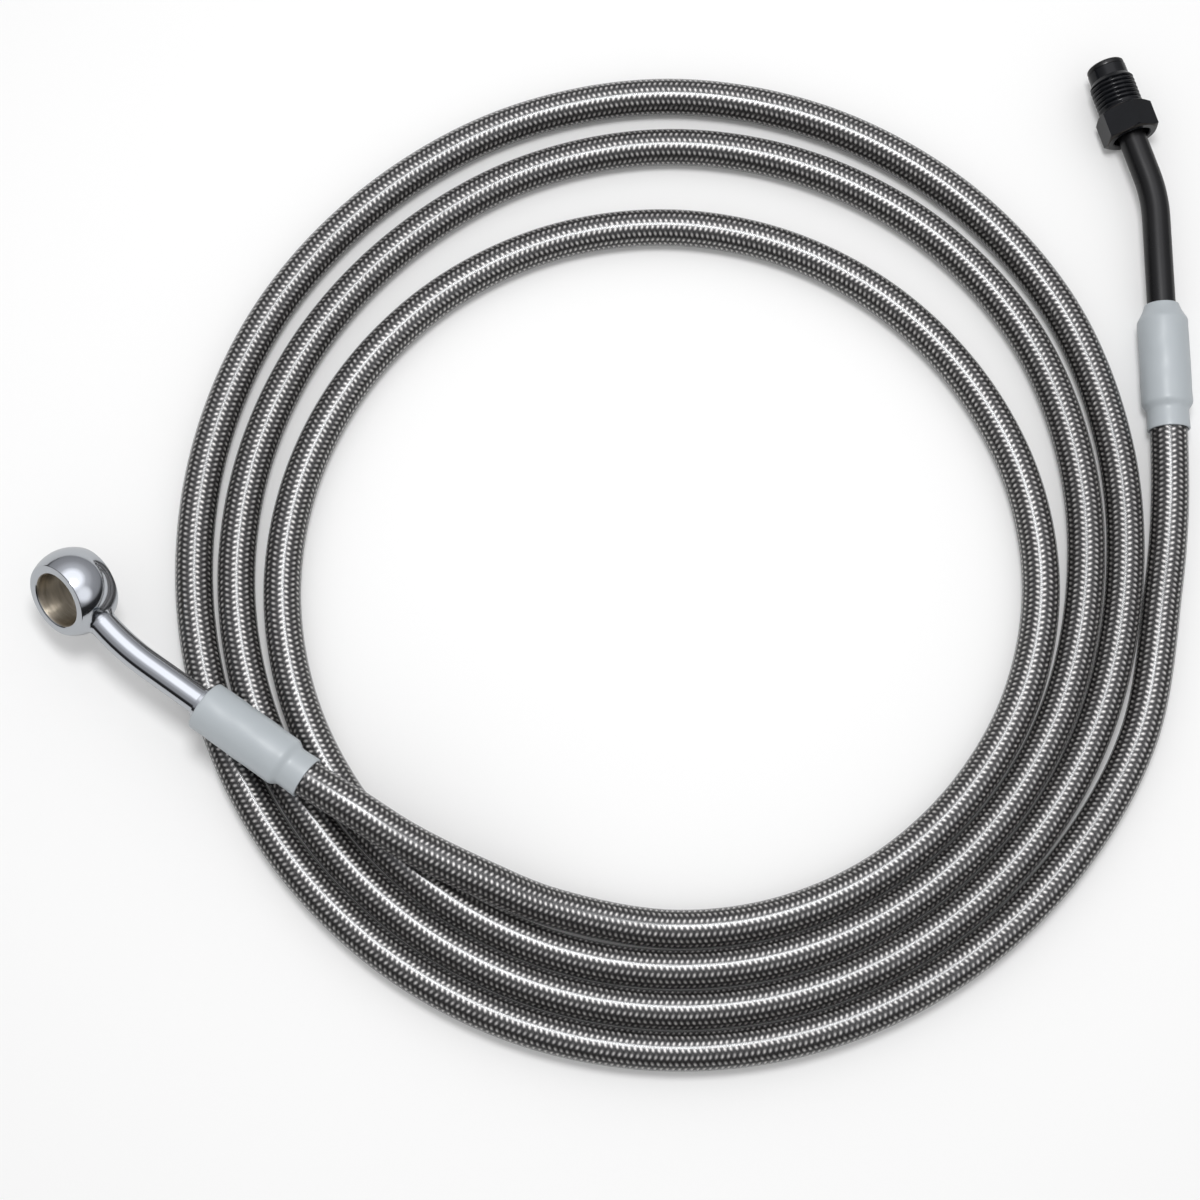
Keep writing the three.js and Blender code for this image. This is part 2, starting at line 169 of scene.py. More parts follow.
def smooth_through(stations, steps):
    """Centripetal Catmull-Rom through the stations, steps points for each stretch."""
    p = np.asarray(stations, float)
    p = np.vstack([2 * p[0] - p[1], p, 2 * p[-1] - p[-2]])
    found = []
    for a, b, c, d in zip(p, p[1:], p[2:], p[3:], strict=False):
        ab, bc, cd = (np.linalg.norm(y - x) ** 0.5 for x, y in ((a, b), (b, c), (c, d)))
        t1 = ((b - a) / ab - (c - a) / (ab + bc) + (c - b) / bc) * bc
        t2 = ((c - b) / bc - (d - b) / (bc + cd) + (d - c) / cd) * bc
        w = (np.arange(steps) / steps)[:, None]
        h = 2 * b - 2 * c + t1 + t2
        found.append(h * w**3 + (-3 * b + 3 * c - 2 * t1 - t2) * w**2 + t1 * w + b)
    return np.vstack([*found, p[-2:-1]])


class Line:
    """A line through close points, with its place and its side directions at any distance."""

    def __init__(self, points, side=None):
        self.points = np.asarray(points, float)
        steps = np.linalg.norm(np.diff(self.points, axis=0), axis=1)
        self.distance = np.concatenate([[0], np.cumsum(steps)])
        self.length = self.distance[-1]
        self.ahead = unit(np.gradient(self.points, self.distance, axis=0))
        self.side = side

    def frame(self, distance):
        """Points, side directions and upward directions at the distances."""
        s = np.asarray(distance, float)
        inside = np.clip(s, 0, self.length)
        columns = range(3)
        place = np.stack([np.interp(inside, self.distance, self.points[:, c]) for c in columns], -1)
        ahead = np.stack([np.interp(inside, self.distance, self.ahead[:, c]) for c in columns], -1)
        ahead = unit(ahead)
        place = place + ahead * (s - inside)[..., None]
        if self.side is None:
            side = unit(np.cross(ahead, UP))
        else:
            side = np.broadcast_to(self.side, ahead.shape)
        return place, side, np.cross(side, ahead)


def straight(start, direction, side=None):
    start, direction = np.asarray(start, float), unit(direction)
    return Line([start, start + direction * MM], side)


def mesh_object(name, verts, quads, uvs=None, smooth_angle=None):
    """A mesh piece from arrays of corner points, four-cornered faces and their corners' UVs."""
    mesh = bpy.data.meshes.new(name)
    count = len(quads)
    mesh.vertices.add(len(verts))
    mesh.vertices.foreach_set("co", np.asarray(verts, np.float32).ravel())
    mesh.loops.add(count * 4)
    mesh.loops.foreach_set("vertex_index", np.asarray(quads, np.int32).ravel())
    mesh.polygons.add(count)
    mesh.polygons.foreach_set("loop_start", np.arange(0, count * 4, 4, dtype=np.int32))
    if uvs is not None:
        layer = mesh.uv_layers.new(name="Surface")
        layer.data.foreach_set("uv", np.asarray(uvs, np.float32).ravel())
    mesh.update(calc_edges=True)
    mesh.validate()
    mesh.polygons.foreach_set("use_smooth", np.ones(len(mesh.polygons), bool))
    if smooth_angle is not None:
        mesh.set_sharp_from_angle(angle=math.radians(smooth_angle))
    piece = bpy.data.objects.new(name, mesh)
    bpy.context.scene.collection.objects.link(piece)
    return piece


def ringed(name, line, outline, sides, closed=True, shape=None, smooth_angle=32):
    """Rings round a line at the outline's (distance, radius) points, joined into one skin.

    shape(angle, distance, radius) may change the radius. UVs are the turn's share and the
    length along the outline in millimetres."""
    s, r = (np.array(v, float) for v in zip(*outline, strict=True))
    place, side, up = line.frame(s)
    angle = np.arange(sides) / sides * 2 * math.pi
    radius = np.repeat(r[:, None], sides, 1)
    if shape is not None:
        radius = shape(angle[None, :], s[:, None], radius)
    ring = np.cos(angle)[None, :, None] * side[:, None] + np.sin(angle)[None, :, None] * up[:, None]
    verts = place[:, None] + radius[..., None] * ring
    rows = len(s) if closed else len(s) - 1
    i, j = np.meshgrid(np.arange(rows), np.arange(sides), indexing="ij")
    n, m = (i + 1) % len(s), (j + 1) % sides
    quads = np.stack([i * sides + j, i * sides + m, n * sides + m, n * sides + j], -1)
    run = np.hypot(np.diff(np.append(s, s[0])), np.diff(np.append(r, r[0]))) / MM
    v = np.concatenate([[0], np.cumsum(run)])
    u0, u1 = j / sides, (j + 1) / sides
    uvs = np.stack([u0, v[i], u1, v[i], u1, v[i + 1], u0, v[i + 1]], -1)
    return mesh_object(name, verts.reshape(-1, 3), quads.reshape(-1, 4), uvs, smooth_angle)


def rounded(points, radius, steps=4):
    """An outline with each inner corner of the list cut back by the radius and rounded."""
    p = [np.array(q, float) for q in points]
    found = [p[0]]
    for a, b, c in zip(p, p[1:], p[2:], strict=False):
        cut = min(radius, np.linalg.norm(a - b) / 2, np.linalg.norm(c - b) / 2)
        start, end = b + unit(a - b) * cut, b + unit(c - b) * cut
        for w in np.linspace(0, 1, steps + 1):
            found.append((1 - w) ** 2 * start + 2 * w * (1 - w) * b + w**2 * end)
    return [tuple(q) for q in [*found, p[-1]]]


# Route


class FittingEnd:
    """Places along one fitting end: distance runs from the sleeve's mouth to the fitting."""

    def __init__(self, mouth, height, heading, climb=0.0):
        a = math.radians(heading)
        self.mouth = np.array([mouth[0] * MM, mouth[1] * MM, height])
        self.ahead = unit([math.cos(a), math.sin(a), climb])

    def at(self, distance):
        return self.mouth + self.ahead * distance

    def line(self):
        return straight(self.mouth, self.ahead)


def coil_points():
    radii = list(INNER_TURN)
    for i, room in enumerate(TURN_ROOM):
        radii.append(radii[i] + 2 * HOSE_RADIUS / MM + TURN_GAP + room)
    turns = (len(radii) - 1) / EIGHTHS_PER_TURN
    steps = round(turns * STEPS_PER_TURN)
    found = []
    for i in range(steps + 1):
        angle = (i / steps * turns - COIL_START) * 2 * math.pi
        r = spline_value(radii, i / steps) * MM
        found.append([r * math.cos(angle), r * math.sin(angle), HOSE_RADIUS])
    return found


def bent_points(start, corner, end, radius, steps=24):
    """Straight to the corner, an arc of the radius inside it, and straight on."""
    inward, outward = unit(corner - start), unit(end - corner)
    turn = math.acos(float(np.clip(inward @ outward, -1, 1)))
    axis = unit(np.cross(inward, outward))
    to_centre = np.cross(axis, inward) * radius
    centre = corner - inward * radius * math.tan(turn / 2) + to_centre
    arc = [
        centre + turned_about(-to_centre, axis, math.degrees(turn) * i / steps)
        for i in range(steps + 1)
    ]
    return np.array([start, *arc, end])


def pipe_line(end, corner, tip, bend_radius):
    """Centre line of a pipe from inside its collar, round its one bend, to its tip."""
    start = end.at(COLLAR_FLOOR + SEAT_GAP)
    return Line(bent_points(start, end.at(corner), tip, bend_radius))


NUT_CORNER = NUT_FLATS / math.sqrt(3)
NUT_LENGTH = NUT_HEX_LENGTH + NUT_THREAD_LENGTH + NUT_PILOT_LENGTH
COLLAR_FLOOR = COLLAR_MOUTH + COLLAR_BODY - COLLAR_END_WALL
COLLAR_END = COLLAR_MOUTH + COLLAR_BODY + COLLAR_CONE + COLLAR_NOSE
HOSE_END = COLLAR_FLOOR - REST_GAP
BANJO_HEIGHT = 2 * HOSE_RADIUS + REST_GAP + SLEEVE_RADIUS
TUBE_CLIMB = (NUT_CORNER - SLEEVE_RADIUS) / TUBE_CORNER

banjo_end = FittingEnd(BANJO_MOUTH, BANJO_HEIGHT, BANJO_HEADING)
tube_end = FittingEnd(TUBE_MOUTH, SLEEVE_RADIUS, TUBE_HEADING, TUBE_CLIMB)
nut_ahead = turned_about(unit([*tube_end.ahead[:2], 0]), UP, TUBE_BEND)
tube_tip = tube_end.at(TUBE_CORNER) + nut_ahead * TUBE_END_FROM_CORNER
nut_back = tube_tip - nut_ahead * (FLARE_LENGTH + REST_GAP + NUT_LENGTH)

# The coil's own centre in the part's frame: the nut's hinge stands at the nut's back
joint = frame["joints"][0]
TO_FRAME = np.array(joint["pos_m"]) - nut_back
banjo_end.mouth += TO_FRAME
tube_end.mouth += TO_FRAME
nut_back = nut_back + TO_FRAME
tube_tip = tube_tip + TO_FRAME

eye_ahead = turned_about(banjo_end.ahead, UP, NECK_BEND)
eye_centre = banjo_end.at(NECK_CORNER) + eye_ahead * EYE_FROM_CORNER
to_neck = -eye_ahead
eye_tilt = math.radians(EYE_TILT)
bore_axis = math.cos(eye_tilt) * np.cross(to_neck, UP) + math.sin(eye_tilt) * UP
neck_tip = eye_centre + to_neck * (EYE_RADIUS - NECK_SOCKET_DEPTH + REST_GAP)

free_route = [
    *(np.array(BANJO_ROUTE) * MM + TO_FRAME),
    *(np.array(coil_points()) + TO_FRAME),
    *(np.array(TUBE_ROUTE) * MM + TO_FRAME),
]
full_route = [
    *(banjo_end.at(s) for s in (HOSE_END, SLEEVE_LIP, 0)),
    *free_route,
    *(tube_end.at(s) for s in (0, SLEEVE_LIP, HOSE_END)),
]
ROUTE_STEPS = 40
hose_points = smooth_through(full_route, ROUTE_STEPS)
# No turn sinks into the surface that the coil lies on
hose_points[:, 2] = np.maximum(hose_points[:, 2], HOSE_RADIUS)
hose_line = Line(hose_points)
jacket_line = Line(hose_points[ROUTE_STEPS:-ROUTE_STEPS])
neck_line = pipe_line(banjo_end, NECK_CORNER, neck_tip, NECK_BEND_RADIUS)
tube_line = pipe_line(tube_end, TUBE_CORNER, tube_tip, TUBE_BEND_RADIUS)


# Settings


def length(name, description, value):
    return bpy.props.FloatProperty(
        name=name, description=description, default=value, min=0, subtype="DISTANCE", unit="LENGTH"
    )


def share(name, description, value):
    return bpy.props.FloatProperty(
        name=name, description=description, default=value, min=0, max=1, subtype="FACTOR"
    )


def colour(name, description, value):
    return bpy.props.FloatVectorProperty(
        name=name, description=description, default=value, size=3, min=0, max=1, subtype="COLOR"
    )


class HoseSettings(bpy.types.PropertyGroup):
    carriers: bpy.props.IntProperty(
        name="Carriers", description="Bundles of wire round the hose", default=16, min=8, max=48
    )
    pitch: length("Pitch", "Distance between bundles along the hose", 1.18 * MM)
    cover: length("Clear cover", "Clear plastic that shows outside the braid", 0.05 * MM)
    weave_depth: length("Weave depth", "Height of a bundle's crown over its ends", 0.5 * MM)
    wire_colour: colour("Wire", "Colour of the stainless wire", (0.9, 0.875, 0.85))
    # Painted shade: the near-black colour of the holes between the bundles
    gap_colour: colour("Gaps", "Colour seen between the bundles", (0.012, 0.011, 0.011))
    clear_gloss: share("Jacket roughness", "Roughness of the clear jacket", 0.2)


class BanjoSettings(bpy.types.PropertyGroup):
    plating: colour("Plating", "Colour of the bright plating", (0.70, 0.73, 0.77))
    bore: colour("Bore", "Colour of the machined bore", (0.35, 0.31, 0.25))
    braze: length("Braze", "Reach of the brazed fillet round the neck", 0.8 * MM)


class SleeveSettings(bpy.types.PropertyGroup):
    film: colour("Film", "Colour of the heat-shrink", (0.45, 0.488, 0.515))
    rim: length("Rim", "Rounding of the sleeve's edges", 0.2 * MM)
    ripple: length("Ripple", "Unevenness left by shrinking", 0.07 * MM)
    swell: length("Swell", "Fullness over the collar", 0.18 * MM)


class TubeSettings(bpy.types.PropertyGroup):
    coating: colour("Coating", "Colour of the tube's coating", (0.004, 0.004, 0.0045))
    nut: colour("Nut", "Colour of the oxided nut", (0.0045, 0.005, 0.0062))
    worn: colour("Worn edge", "Colour where the oxide has worn", (0.07, 0.062, 0.056))
    thread_pitch: length("Thread pitch", "Pitch of the nut's thread", 1.0 * MM)
    thread_depth: length("Thread depth", "Depth of the nut's thread", 0.55 * MM)


class StageSettings(bpy.types.PropertyGroup):
    floor: share("Floor", "Reflectance of the floor", 0.93)
    floor_glow: share("Floor glow", "White added to the floor as seen", 0.03)
    mirrored_floor: share("Mirrored floor", "Share of the floor's tone that metal mirrors", 0.68)
    sky: bpy.props.FloatProperty(
        name="Sky", description="Level of the light from all round", default=0.66, min=0
    )
    lamp: bpy.props.FloatProperty(
        name="Lamp", description="Power of the soft light", default=1.2, min=0, unit="POWER"
    )
    lamp_size: length("Lamp size", "Width of the soft light", 0.15)


# Shader groups and materials


def feed(node, feeds):
    """Gives inputs of the node a value each, or a link from another node's output."""
    for key, value in feeds.items():
        if isinstance(value, bpy.types.NodeSocket):
            node.id_data.links.new(value, node.inputs[key])
        else:
            node.inputs[key].default_value = value


def adder(tree):
    """A function that adds nodes to the tree, with their properties and what feeds them."""

    def add(kind, feeds=None, **properties):
        made = tree.nodes.new(kind)
        for key, value in properties.items():
            setattr(made, key, value)
        feed(made, feeds or {})
        return made

    return add


# Scale of the patches that change roughness and colour, as a share of the grain's
PATCH_SCALE = 0.18


def grain_group():
    """Uneven surface: a roughness that varies and a height for a bump, at one scale."""
    name = "Surface grain"
    if name in bpy.data.node_groups:
        return bpy.data.node_groups[name]
    tree = bpy.data.node_groups.new(name, "ShaderNodeTree")
    face = tree.interface
    for label, value in (("Scale", 900.0), ("Roughness", 0.2), ("Variation", 0.1)):
        face.new_socket(label, in_out="INPUT", socket_type="NodeSocketFloat").default_value = value
    for label in ("Roughness", "Height", "Mask"):
        face.new_socket(label, in_out="OUTPUT", socket_type="NodeSocketFloat")
    add = adder(tree)
    given = add("NodeGroupInput").outputs
    place = add("ShaderNodeTexCoord").outputs["Object"]
    scale = add("ShaderNodeMath", {0: given["Scale"], 1: PATCH_SCALE}, operation="MULTIPLY")
    fine = add("ShaderNodeTexNoise", {"Vector": place, "Scale": given["Scale"], "Detail": 4.0})
    broad = add("ShaderNodeTexNoise", {"Vector": place, "Scale": scale.outputs[0], "Detail": 2.0})
    spread = add("ShaderNodeMath", {0: broad.outputs["Fac"], 1: 0.5}, operation="SUBTRACT")
    rough = add(
        "ShaderNodeMath",
        {0: spread.outputs[0], 1: given["Variation"], 2: given["Roughness"]},
        operation="MULTIPLY_ADD",
    )
    results = {
        "Roughness": rough.outputs[0],
        "Height": fine.outputs["Fac"],
        "Mask": broad.outputs["Fac"],
    }
    add("NodeGroupOutput", results)
    return tree


def rgba(value, level=1.0):
    return (*(c * level for c in value), 1)


def plain_material(name, **values):
    """A material, its Principled shader with these values, and a function to add nodes."""
    made = bpy.data.materials.new(name)
    made.use_nodes = True
    shader = made.node_tree.nodes["Principled BSDF"]
    feed(shader, {key.replace("_", " "): value for key, value in values.items()})
    return made, shader, adder(made.node_tree)


# Scale of the grain, roughness, how much the roughness varies, and height of the bump
GRAIN = {
    "bright plating": (420, 0.1, 0.1, 0.01 * MM),
    "turned steel": (700, 0.32, 0.12, 0.01 * MM),
    "braid gaps": (1500, 0.55, 0.2, 0.03 * MM),
    "liner": (500, 0.45, 0.1, 0.01 * MM),
    "heat-shrink": (260, 0.42, 0.12, 0.03 * MM),
    "black coating": (350, 0.28, 0.07, 0.01 * MM),
    "black oxide": (800, 0.19, 0.1, 0.012 * MM),
    "worn oxide": (1200, 0.3, 0.2, 0.01 * MM),
}


def grained(name, colour_from, colour_to, **values):
    """A material whose roughness, height and colour vary by the grain group."""
    scale, roughness, variation, bump = GRAIN[name]
    made, shader, add = plain_material(name, Base_Color=colour_from, **values)
    grain = add(
        "ShaderNodeGroup",
        {"Scale": scale, "Roughness": roughness, "Variation": variation},
        node_tree=grain_group(),
    ).outputs
    relief = add("ShaderNodeBump", {"Strength": 1.0, "Distance": bump, "Height": grain["Height"]})
    tones = {"Factor": grain["Mask"], "A": colour_from, "B": colour_to}
    mix = add("ShaderNodeMix", tones, data_type="RGBA")
    feed(shader, {"Roughness": grain["Roughness"], "Normal": relief.outputs["Normal"]})
    feed(shader, {"Base Color": mix.outputs["Result"]})
    return made


def plating_material(s):
    return grained("bright plating", rgba(s.plating), rgba(s.plating, 0.86), Metallic=1.0)


def steel_material():
    return grained("turned steel", (0.62, 0.62, 0.63, 1), (0.5, 0.5, 0.51, 1), Metallic=1.0)


# Painted shade: the layer under the bundles is near-black for the shade in the holes between them
def gap_shade_material(s):
    return grained("braid gaps", rgba(s.gap_colour), rgba(s.gap_colour, 2.2), Metallic=0.4)


def liner_material():
    return grained("liner", (0.93, 0.93, 0.9, 1), (0.86, 0.86, 0.82, 1))


def film_material(s):
    tones = rgba(s.film), rgba(s.film, 0.93)
    return grained("heat-shrink", *tones, Coat_Weight=0.25, Coat_Roughness=0.3)


def coating_material(s):
    tones = rgba(s.coating), rgba(s.coating, 1.6)
    return grained("black coating", *tones, Specular_IOR_Level=0.42)


def oxide_material(s):
    return grained("black oxide", rgba(s.nut), rgba(s.nut, 1.7), Specular_IOR_Level=0.3)


def worn_material(s):
    return grained("worn oxide", rgba(s.worn), rgba(s.nut), Metallic=0.9)


# Darkest and lightest tone of the machined bore, and its blotches' scale round and along it
BORE_TONES = (0.4, 1.9)
BLOTCH_STRETCH = (7.0, 0.9, 1.0)


def machined_material(s):
    """Turned metal: uneven rings across the outline, and a brownish tone that varies."""
    made, shader, add = plain_material("machined bore", Metallic=1.0, Roughness=0.34)
    place = add("ShaderNodeUVMap", uv_map="Surface").outputs["UV"]
    rings = add(
        "ShaderNodeTexWave",
        {"Vector": place, "Scale": 1.6, "Distortion": 0.6, "Detail": 2.0},
        bands_direction="Y",
    )
    depth = {"Height": rings.outputs["Fac"], "Strength": 0.8, "Distance": 0.03 * MM}
    relief = add("ShaderNodeBump", depth)
    stretch = add("ShaderNodeMapping", {"Vector": place, "Scale": BLOTCH_STRETCH})
    blotch = add(
        "ShaderNodeTexNoise", {"Vector": stretch.outputs["Vector"], "Scale": 1.0, "Detail": 3.0}
    )
    dark, light = (rgba(s.bore, level) for level in BORE_TONES)
    tones = {"Factor": blotch.outputs["Fac"], "A": dark, "B": light}
    mix = add("ShaderNodeMix", tones, data_type="RGBA")
    feed(shader, {"Normal": relief.outputs["Normal"], "Base Color": mix.outputs["Result"]})
    return made


# Wires in a bundle, and the scale at which a wave texture has a wave for each unit of length
WIRES = 6
WAVE_PERIOD = 2 * math.pi / 20
# Painted highlight and shade on each bundle: a bright spot on its crown and painted shade towards
# its ends. How narrow the spot is across and along the bundle, where it ends, and what is left of
# the colour there
CROWN_NARROWING = (1.7, 3.3)
CROWN_REACH = 0.76
CROWN_FOOT = 0.07
WIRE_TONES = (0.9, 1.1)
WIRE_ROUGHNESS = (0.52, 0.62)


def painted_crown_shade(add, place):
    """1 in the middle of a bundle, a painted highlight, falling to CROWN_FOOT where it dives under
    its neighbours, a painted shade.
    """
    across, along = CROWN_NARROWING
    centre = add(
        "ShaderNodeVectorMath",
        {0: place, 1: (across / WIRES, along, 0.0), 2: (-across / 2, -along / 2, 0.0)},
        operation="MULTIPLY_ADD",
    )
    away = add("ShaderNodeVectorMath", {0: centre.outputs["Vector"]}, operation="LENGTH")
    limits = {"From Min": CROWN_REACH, "From Max": 0.0, "To Min": CROWN_FOOT}
    spot = {"Value": away.outputs["Value"], **limits}
    return add("ShaderNodeMapRange", spot, interpolation_type="SMOOTHSTEP").outputs["Result"]


def wire_material(s):
    """Stainless wire: each bundle has its own tone, its wires are ridges across it, and its colour
    carries a painted highlight on the crown and painted shade at the ends.
    """
    made, shader, add = plain_material(
        "stainless braid", Base_Color=rgba(s.wire_colour), Metallic=1.0, Roughness=0.3
    )
    place = add("ShaderNodeUVMap", uv_map="Surface").outputs["UV"]
    ridges = {"Vector": place, "Scale": WAVE_PERIOD}
    wires = add("ShaderNodeTexWave", ridges, bands_direction="X", wave_profile="SIN")
    height = {"Height": wires.outputs["Fac"], "Strength": 0.5, "Distance": 0.03 * MM}
    relief = add("ShaderNodeBump", height)
    bundle = add("ShaderNodeAttribute", attribute_name="bundle").outputs["Fac"]
    dark, light = (rgba(s.wire_colour, level) for level in WIRE_TONES)
    tone = add("ShaderNodeMix", {"Factor": bundle, "A": dark, "B": light}, data_type="RGBA")
    # Painted highlight and shade: full colour on the crown, darkened towards the bundle's diving
    # ends
    shade = add(
        "ShaderNodeMix",
        {"Factor": 1.0, "A": tone.outputs["Result"], "B": painted_crown_shade(add, place)},
        data_type="RGBA",
        blend_type="MULTIPLY",
    )
    smooth, rough = WIRE_ROUGHNESS
    finish = add("ShaderNodeMapRange", {"Value": bundle, "To Min": smooth, "To Max": rough})
    feed(shader, {"Base Color": shade.outputs["Result"], "Normal": relief.outputs["Normal"]})
    feed(shader, {"Roughness": finish.outputs["Result"]})
    return made


# The clear jacket: where its painted rim shade starts, its colours face on and at the rim, the
# rim's being painted shade, and how much it covers face on and, added to that, at the rim
RIM_SHADE_START = 0.45
GLOSS_COLOUR = (0.95, 0.96, 0.97, 1)
PAINTED_RIM_SHADE = (0.02, 0.02, 0.022, 1)
COVER_FACE_ON = 0.055
COVER_AT_RIM = 0.7


def clear_material(s):
    """Clear jacket: faint gloss face on, and towards its rim a painted shade in place of the dark
    that refraction through its thick wall gives, which also hides the crevices between turns.
    """
    made, shader, add = plain_material(
        "clear jacket", Roughness=s.clear_gloss, Specular_IOR_Level=0.1
    )
    facing = add("ShaderNodeLayerWeight", {"Blend": 0.5}).outputs["Facing"]
    # Painted shade: the rim darkens with the angle of view
    edge = {"Value": facing, "From Min": RIM_SHADE_START}
    rim = add("ShaderNodeMapRange", edge, interpolation_type="SMOOTHSTEP").outputs["Result"]
    colours = {"Factor": rim, "A": GLOSS_COLOUR, "B": PAINTED_RIM_SHADE}
    tint = add("ShaderNodeMix", colours, data_type="RGBA")
    metal = add("ShaderNodeMath", {0: 1.0, 1: rim}, operation="SUBTRACT")
    cover = add(
        "ShaderNodeMath",
        {0: rim, 1: COVER_AT_RIM, 2: COVER_FACE_ON},
        operation="MULTIPLY_ADD",
        use_clamp=True,
    )
    feed(shader, {"Base Color": tint.outputs["Result"], "Metallic": metal.outputs[0]})
    feed(shader, {"Alpha": cover.outputs[0]})
    return made


def dress(piece, material, body=HOSE_BODY, stands_for=()):
    """The piece gets its material, its body and the solids that it stands for."""
    piece.data.materials.clear()
    for m in material if isinstance(material, list) else [material]:
        piece.data.materials.append(m)
    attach(piece, body)
    if stands_for:
        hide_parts(*stands_for)
    return piece


def along_and_away(points, start, ahead):
    """How far points lie along an axis from its start, and how far away from it."""
    out = points - start
    along = out @ ahead
    return along, np.linalg.norm(out - along[:, None] * ahead, axis=1)


def paint_faces(piece, index, test):
    """Faces whose middle passes the test get the material of that index."""
    count = len(piece.data.polygons)
    middle = np.empty(count * 3, np.float32)
    piece.data.polygons.foreach_get("center", middle)
    chosen = np.zeros(count, np.int32)
    piece.data.polygons.foreach_get("material_index", chosen)
    chosen[test(middle.reshape(-1, 3))] = index
    piece.data.polygons.foreach_set("material_index", chosen)


# Operators


class HOSE_OT_camera(bpy.types.Operator):
    """Places the camera above the coil, leaning a little towards its near side"""

    bl_idname = "clutch_hose.camera"
    bl_label = "Camera"

    lean = 13.0
    distance = 0.4163
    field = 33.55
    aim = (-4.78 * MM, -13.05 * MM, 4.0 * MM)

    def execute(self, context):
        lens = bpy.data.cameras.new("camera")
        lens.sensor_fit = "HORIZONTAL"
        lens.angle = math.radians(self.field)
        lens.clip_start = 0.01
        lens.clip_end = 20
        camera = bpy.data.objects.new("camera", lens)
        tilt = math.radians(self.lean)
        back = Vector((0, -math.sin(tilt), math.cos(tilt)))
        camera.location = Vector(self.aim) + back * self.distance
        camera.rotation_euler = (tilt, 0, 0)
        context.scene.collection.objects.link(camera)
        context.scene.camera = camera
        return {"FINISHED"}


# Distance between the rings of the hose's layers, their sides, how many pieces the braid is
# made in, and the walls that show at the cut ends
RING_STEP = 2.4 * MM
JACKET_SIDES = 28
LINER_SIDES = 12
BRAID_PARTS = 5
JACKET_WALL = 0.5 * MM
BRAID_WALL = 0.6 * MM
# Depth of the dark layer under the crowns, whose near-black is painted shade, as a share of the
# weave's
GROUND_DEPTH = 0.46
# Points of a bundle along and across its wires, half its length as a share of a column's
# width, half its width as a share of the pitch, and how far its long edges dip
BUNDLE_ROWS = 5
BUNDLE_COLUMNS = 4
BUNDLE_HALF_LENGTH = 0.98
BUNDLE_HALF_WIDTH = 0.46
BUNDLE_EDGE_DIP = 0.5


def even_outline(line, radius):
    rings = math.ceil(line.length / RING_STEP)
    return [(s, radius) for s in np.linspace(0, line.length, rings + 1)]


def make_jacket(material):
    """The jacket's outside, with both cut ends turned in, so that its wall shows there."""
    bore = HOSE_RADIUS - JACKET_WALL
    end = jacket_line.length
    outer = even_outline(jacket_line, HOSE_RADIUS)
    outline = [(MM, bore), (0, bore), *outer, (end, bore), (end - MM, bore)]
    piece = ringed("clear_jacket", jacket_line, outline, JACKET_SIDES, closed=False)
    piece.visible_shadow = piece.visible_diffuse = piece.visible_glossy = False
    return dress(piece, material, stands_for=["hose_jacket"])


def bundle_patches(s, start, end):
    """Corner points, UVs and tones of the wire bundles with centres from start to end.

    Bundles stand in columns along the hose, one column for each carrier. Neighbouring
    columns lean opposite ways and are half a pitch apart, so that each bundle's ends dive
    under its neighbours' crowns."""
    crown = HOSE_RADIUS - s.cover
    column_width = 2 * math.pi * crown / s.carriers
    lean = math.atan2(s.pitch / 2, column_width)
    half_length = BUNDLE_HALF_LENGTH * column_width / math.cos(lean)
    half_width = BUNDLE_HALF_WIDTH * s.pitch * math.cos(lean)
    along = np.linspace(-1, 1, BUNDLE_ROWS)
    across = np.linspace(-1, 1, BUNDLE_COLUMNS)
    a, b = (g.ravel() for g in np.meshgrid(along, across, indexing="ij"))
    drop = s.weave_depth * (1 - np.cos(a * math.pi / 2) * (1 - BUNDLE_EDGE_DIP * b**2))
    rng = np.random.default_rng(SEED)
    places, tones = [], []
    for column in range(s.carriers):
        first = math.ceil(start / s.pitch - column % 2 / 2)
        last = math.ceil(end / s.pitch - column % 2 / 2)
        centre = (np.arange(first, last) + column % 2 / 2) * s.pitch
        way = 1 if column % 2 else -1
        x = a * half_length * math.cos(lean) - way * b * half_width * math.sin(lean)
        z = way * a * half_length * math.sin(lean) + b * half_width * math.cos(lean)
        angle = column * 2 * math.pi / s.carriers + x / crown
        place, side, up = jacket_line.frame(np.clip(centre[:, None] + z, 0, jacket_line.length))
        ring = np.cos(angle)[None, :, None] * side + np.sin(angle)[None, :, None] * up
        places.append((place + (crown - drop)[None, :, None] * ring).reshape(-1, 3))
        tones.append(np.repeat(rng.random(len(centre)), len(a)))
    return np.vstack(places), np.concatenate(tones), a, b


def make_braid_part(s, index, material):
    step = jacket_line.length / BRAID_PARTS
    verts, tones, a, b = bundle_patches(s, index * step, (index + 1) * step)
    per_bundle = BUNDLE_ROWS * BUNDLE_COLUMNS
    i, j = np.meshgrid(np.arange(BUNDLE_ROWS - 1), np.arange(BUNDLE_COLUMNS - 1), indexing="ij")
    corner = (i * BUNDLE_COLUMNS + j).ravel()
    opposite = corner + BUNDLE_COLUMNS + 1
    quad = np.stack([corner, opposite - 1, opposite, corner + 1], -1)
    bundles = np.arange(len(verts) // per_bundle) * per_bundle
    quads = (bundles[:, None, None] + quad[None]).reshape(-1, 4)
    u, v = (b + 1) / 2 * WIRES, (a + 1) / 2
    uv = np.stack([u, v], -1)[quad]
    uvs = np.broadcast_to(uv, (len(bundles), *uv.shape))
    piece = mesh_object(f"wire_braid_{index + 1}", verts, quads, uvs.reshape(-1, 2))
    tone = piece.data.attributes.new("bundle", "FLOAT", "POINT")
    tone.data.foreach_set("value", tones.astype(np.float32))
    return dress(piece, material)


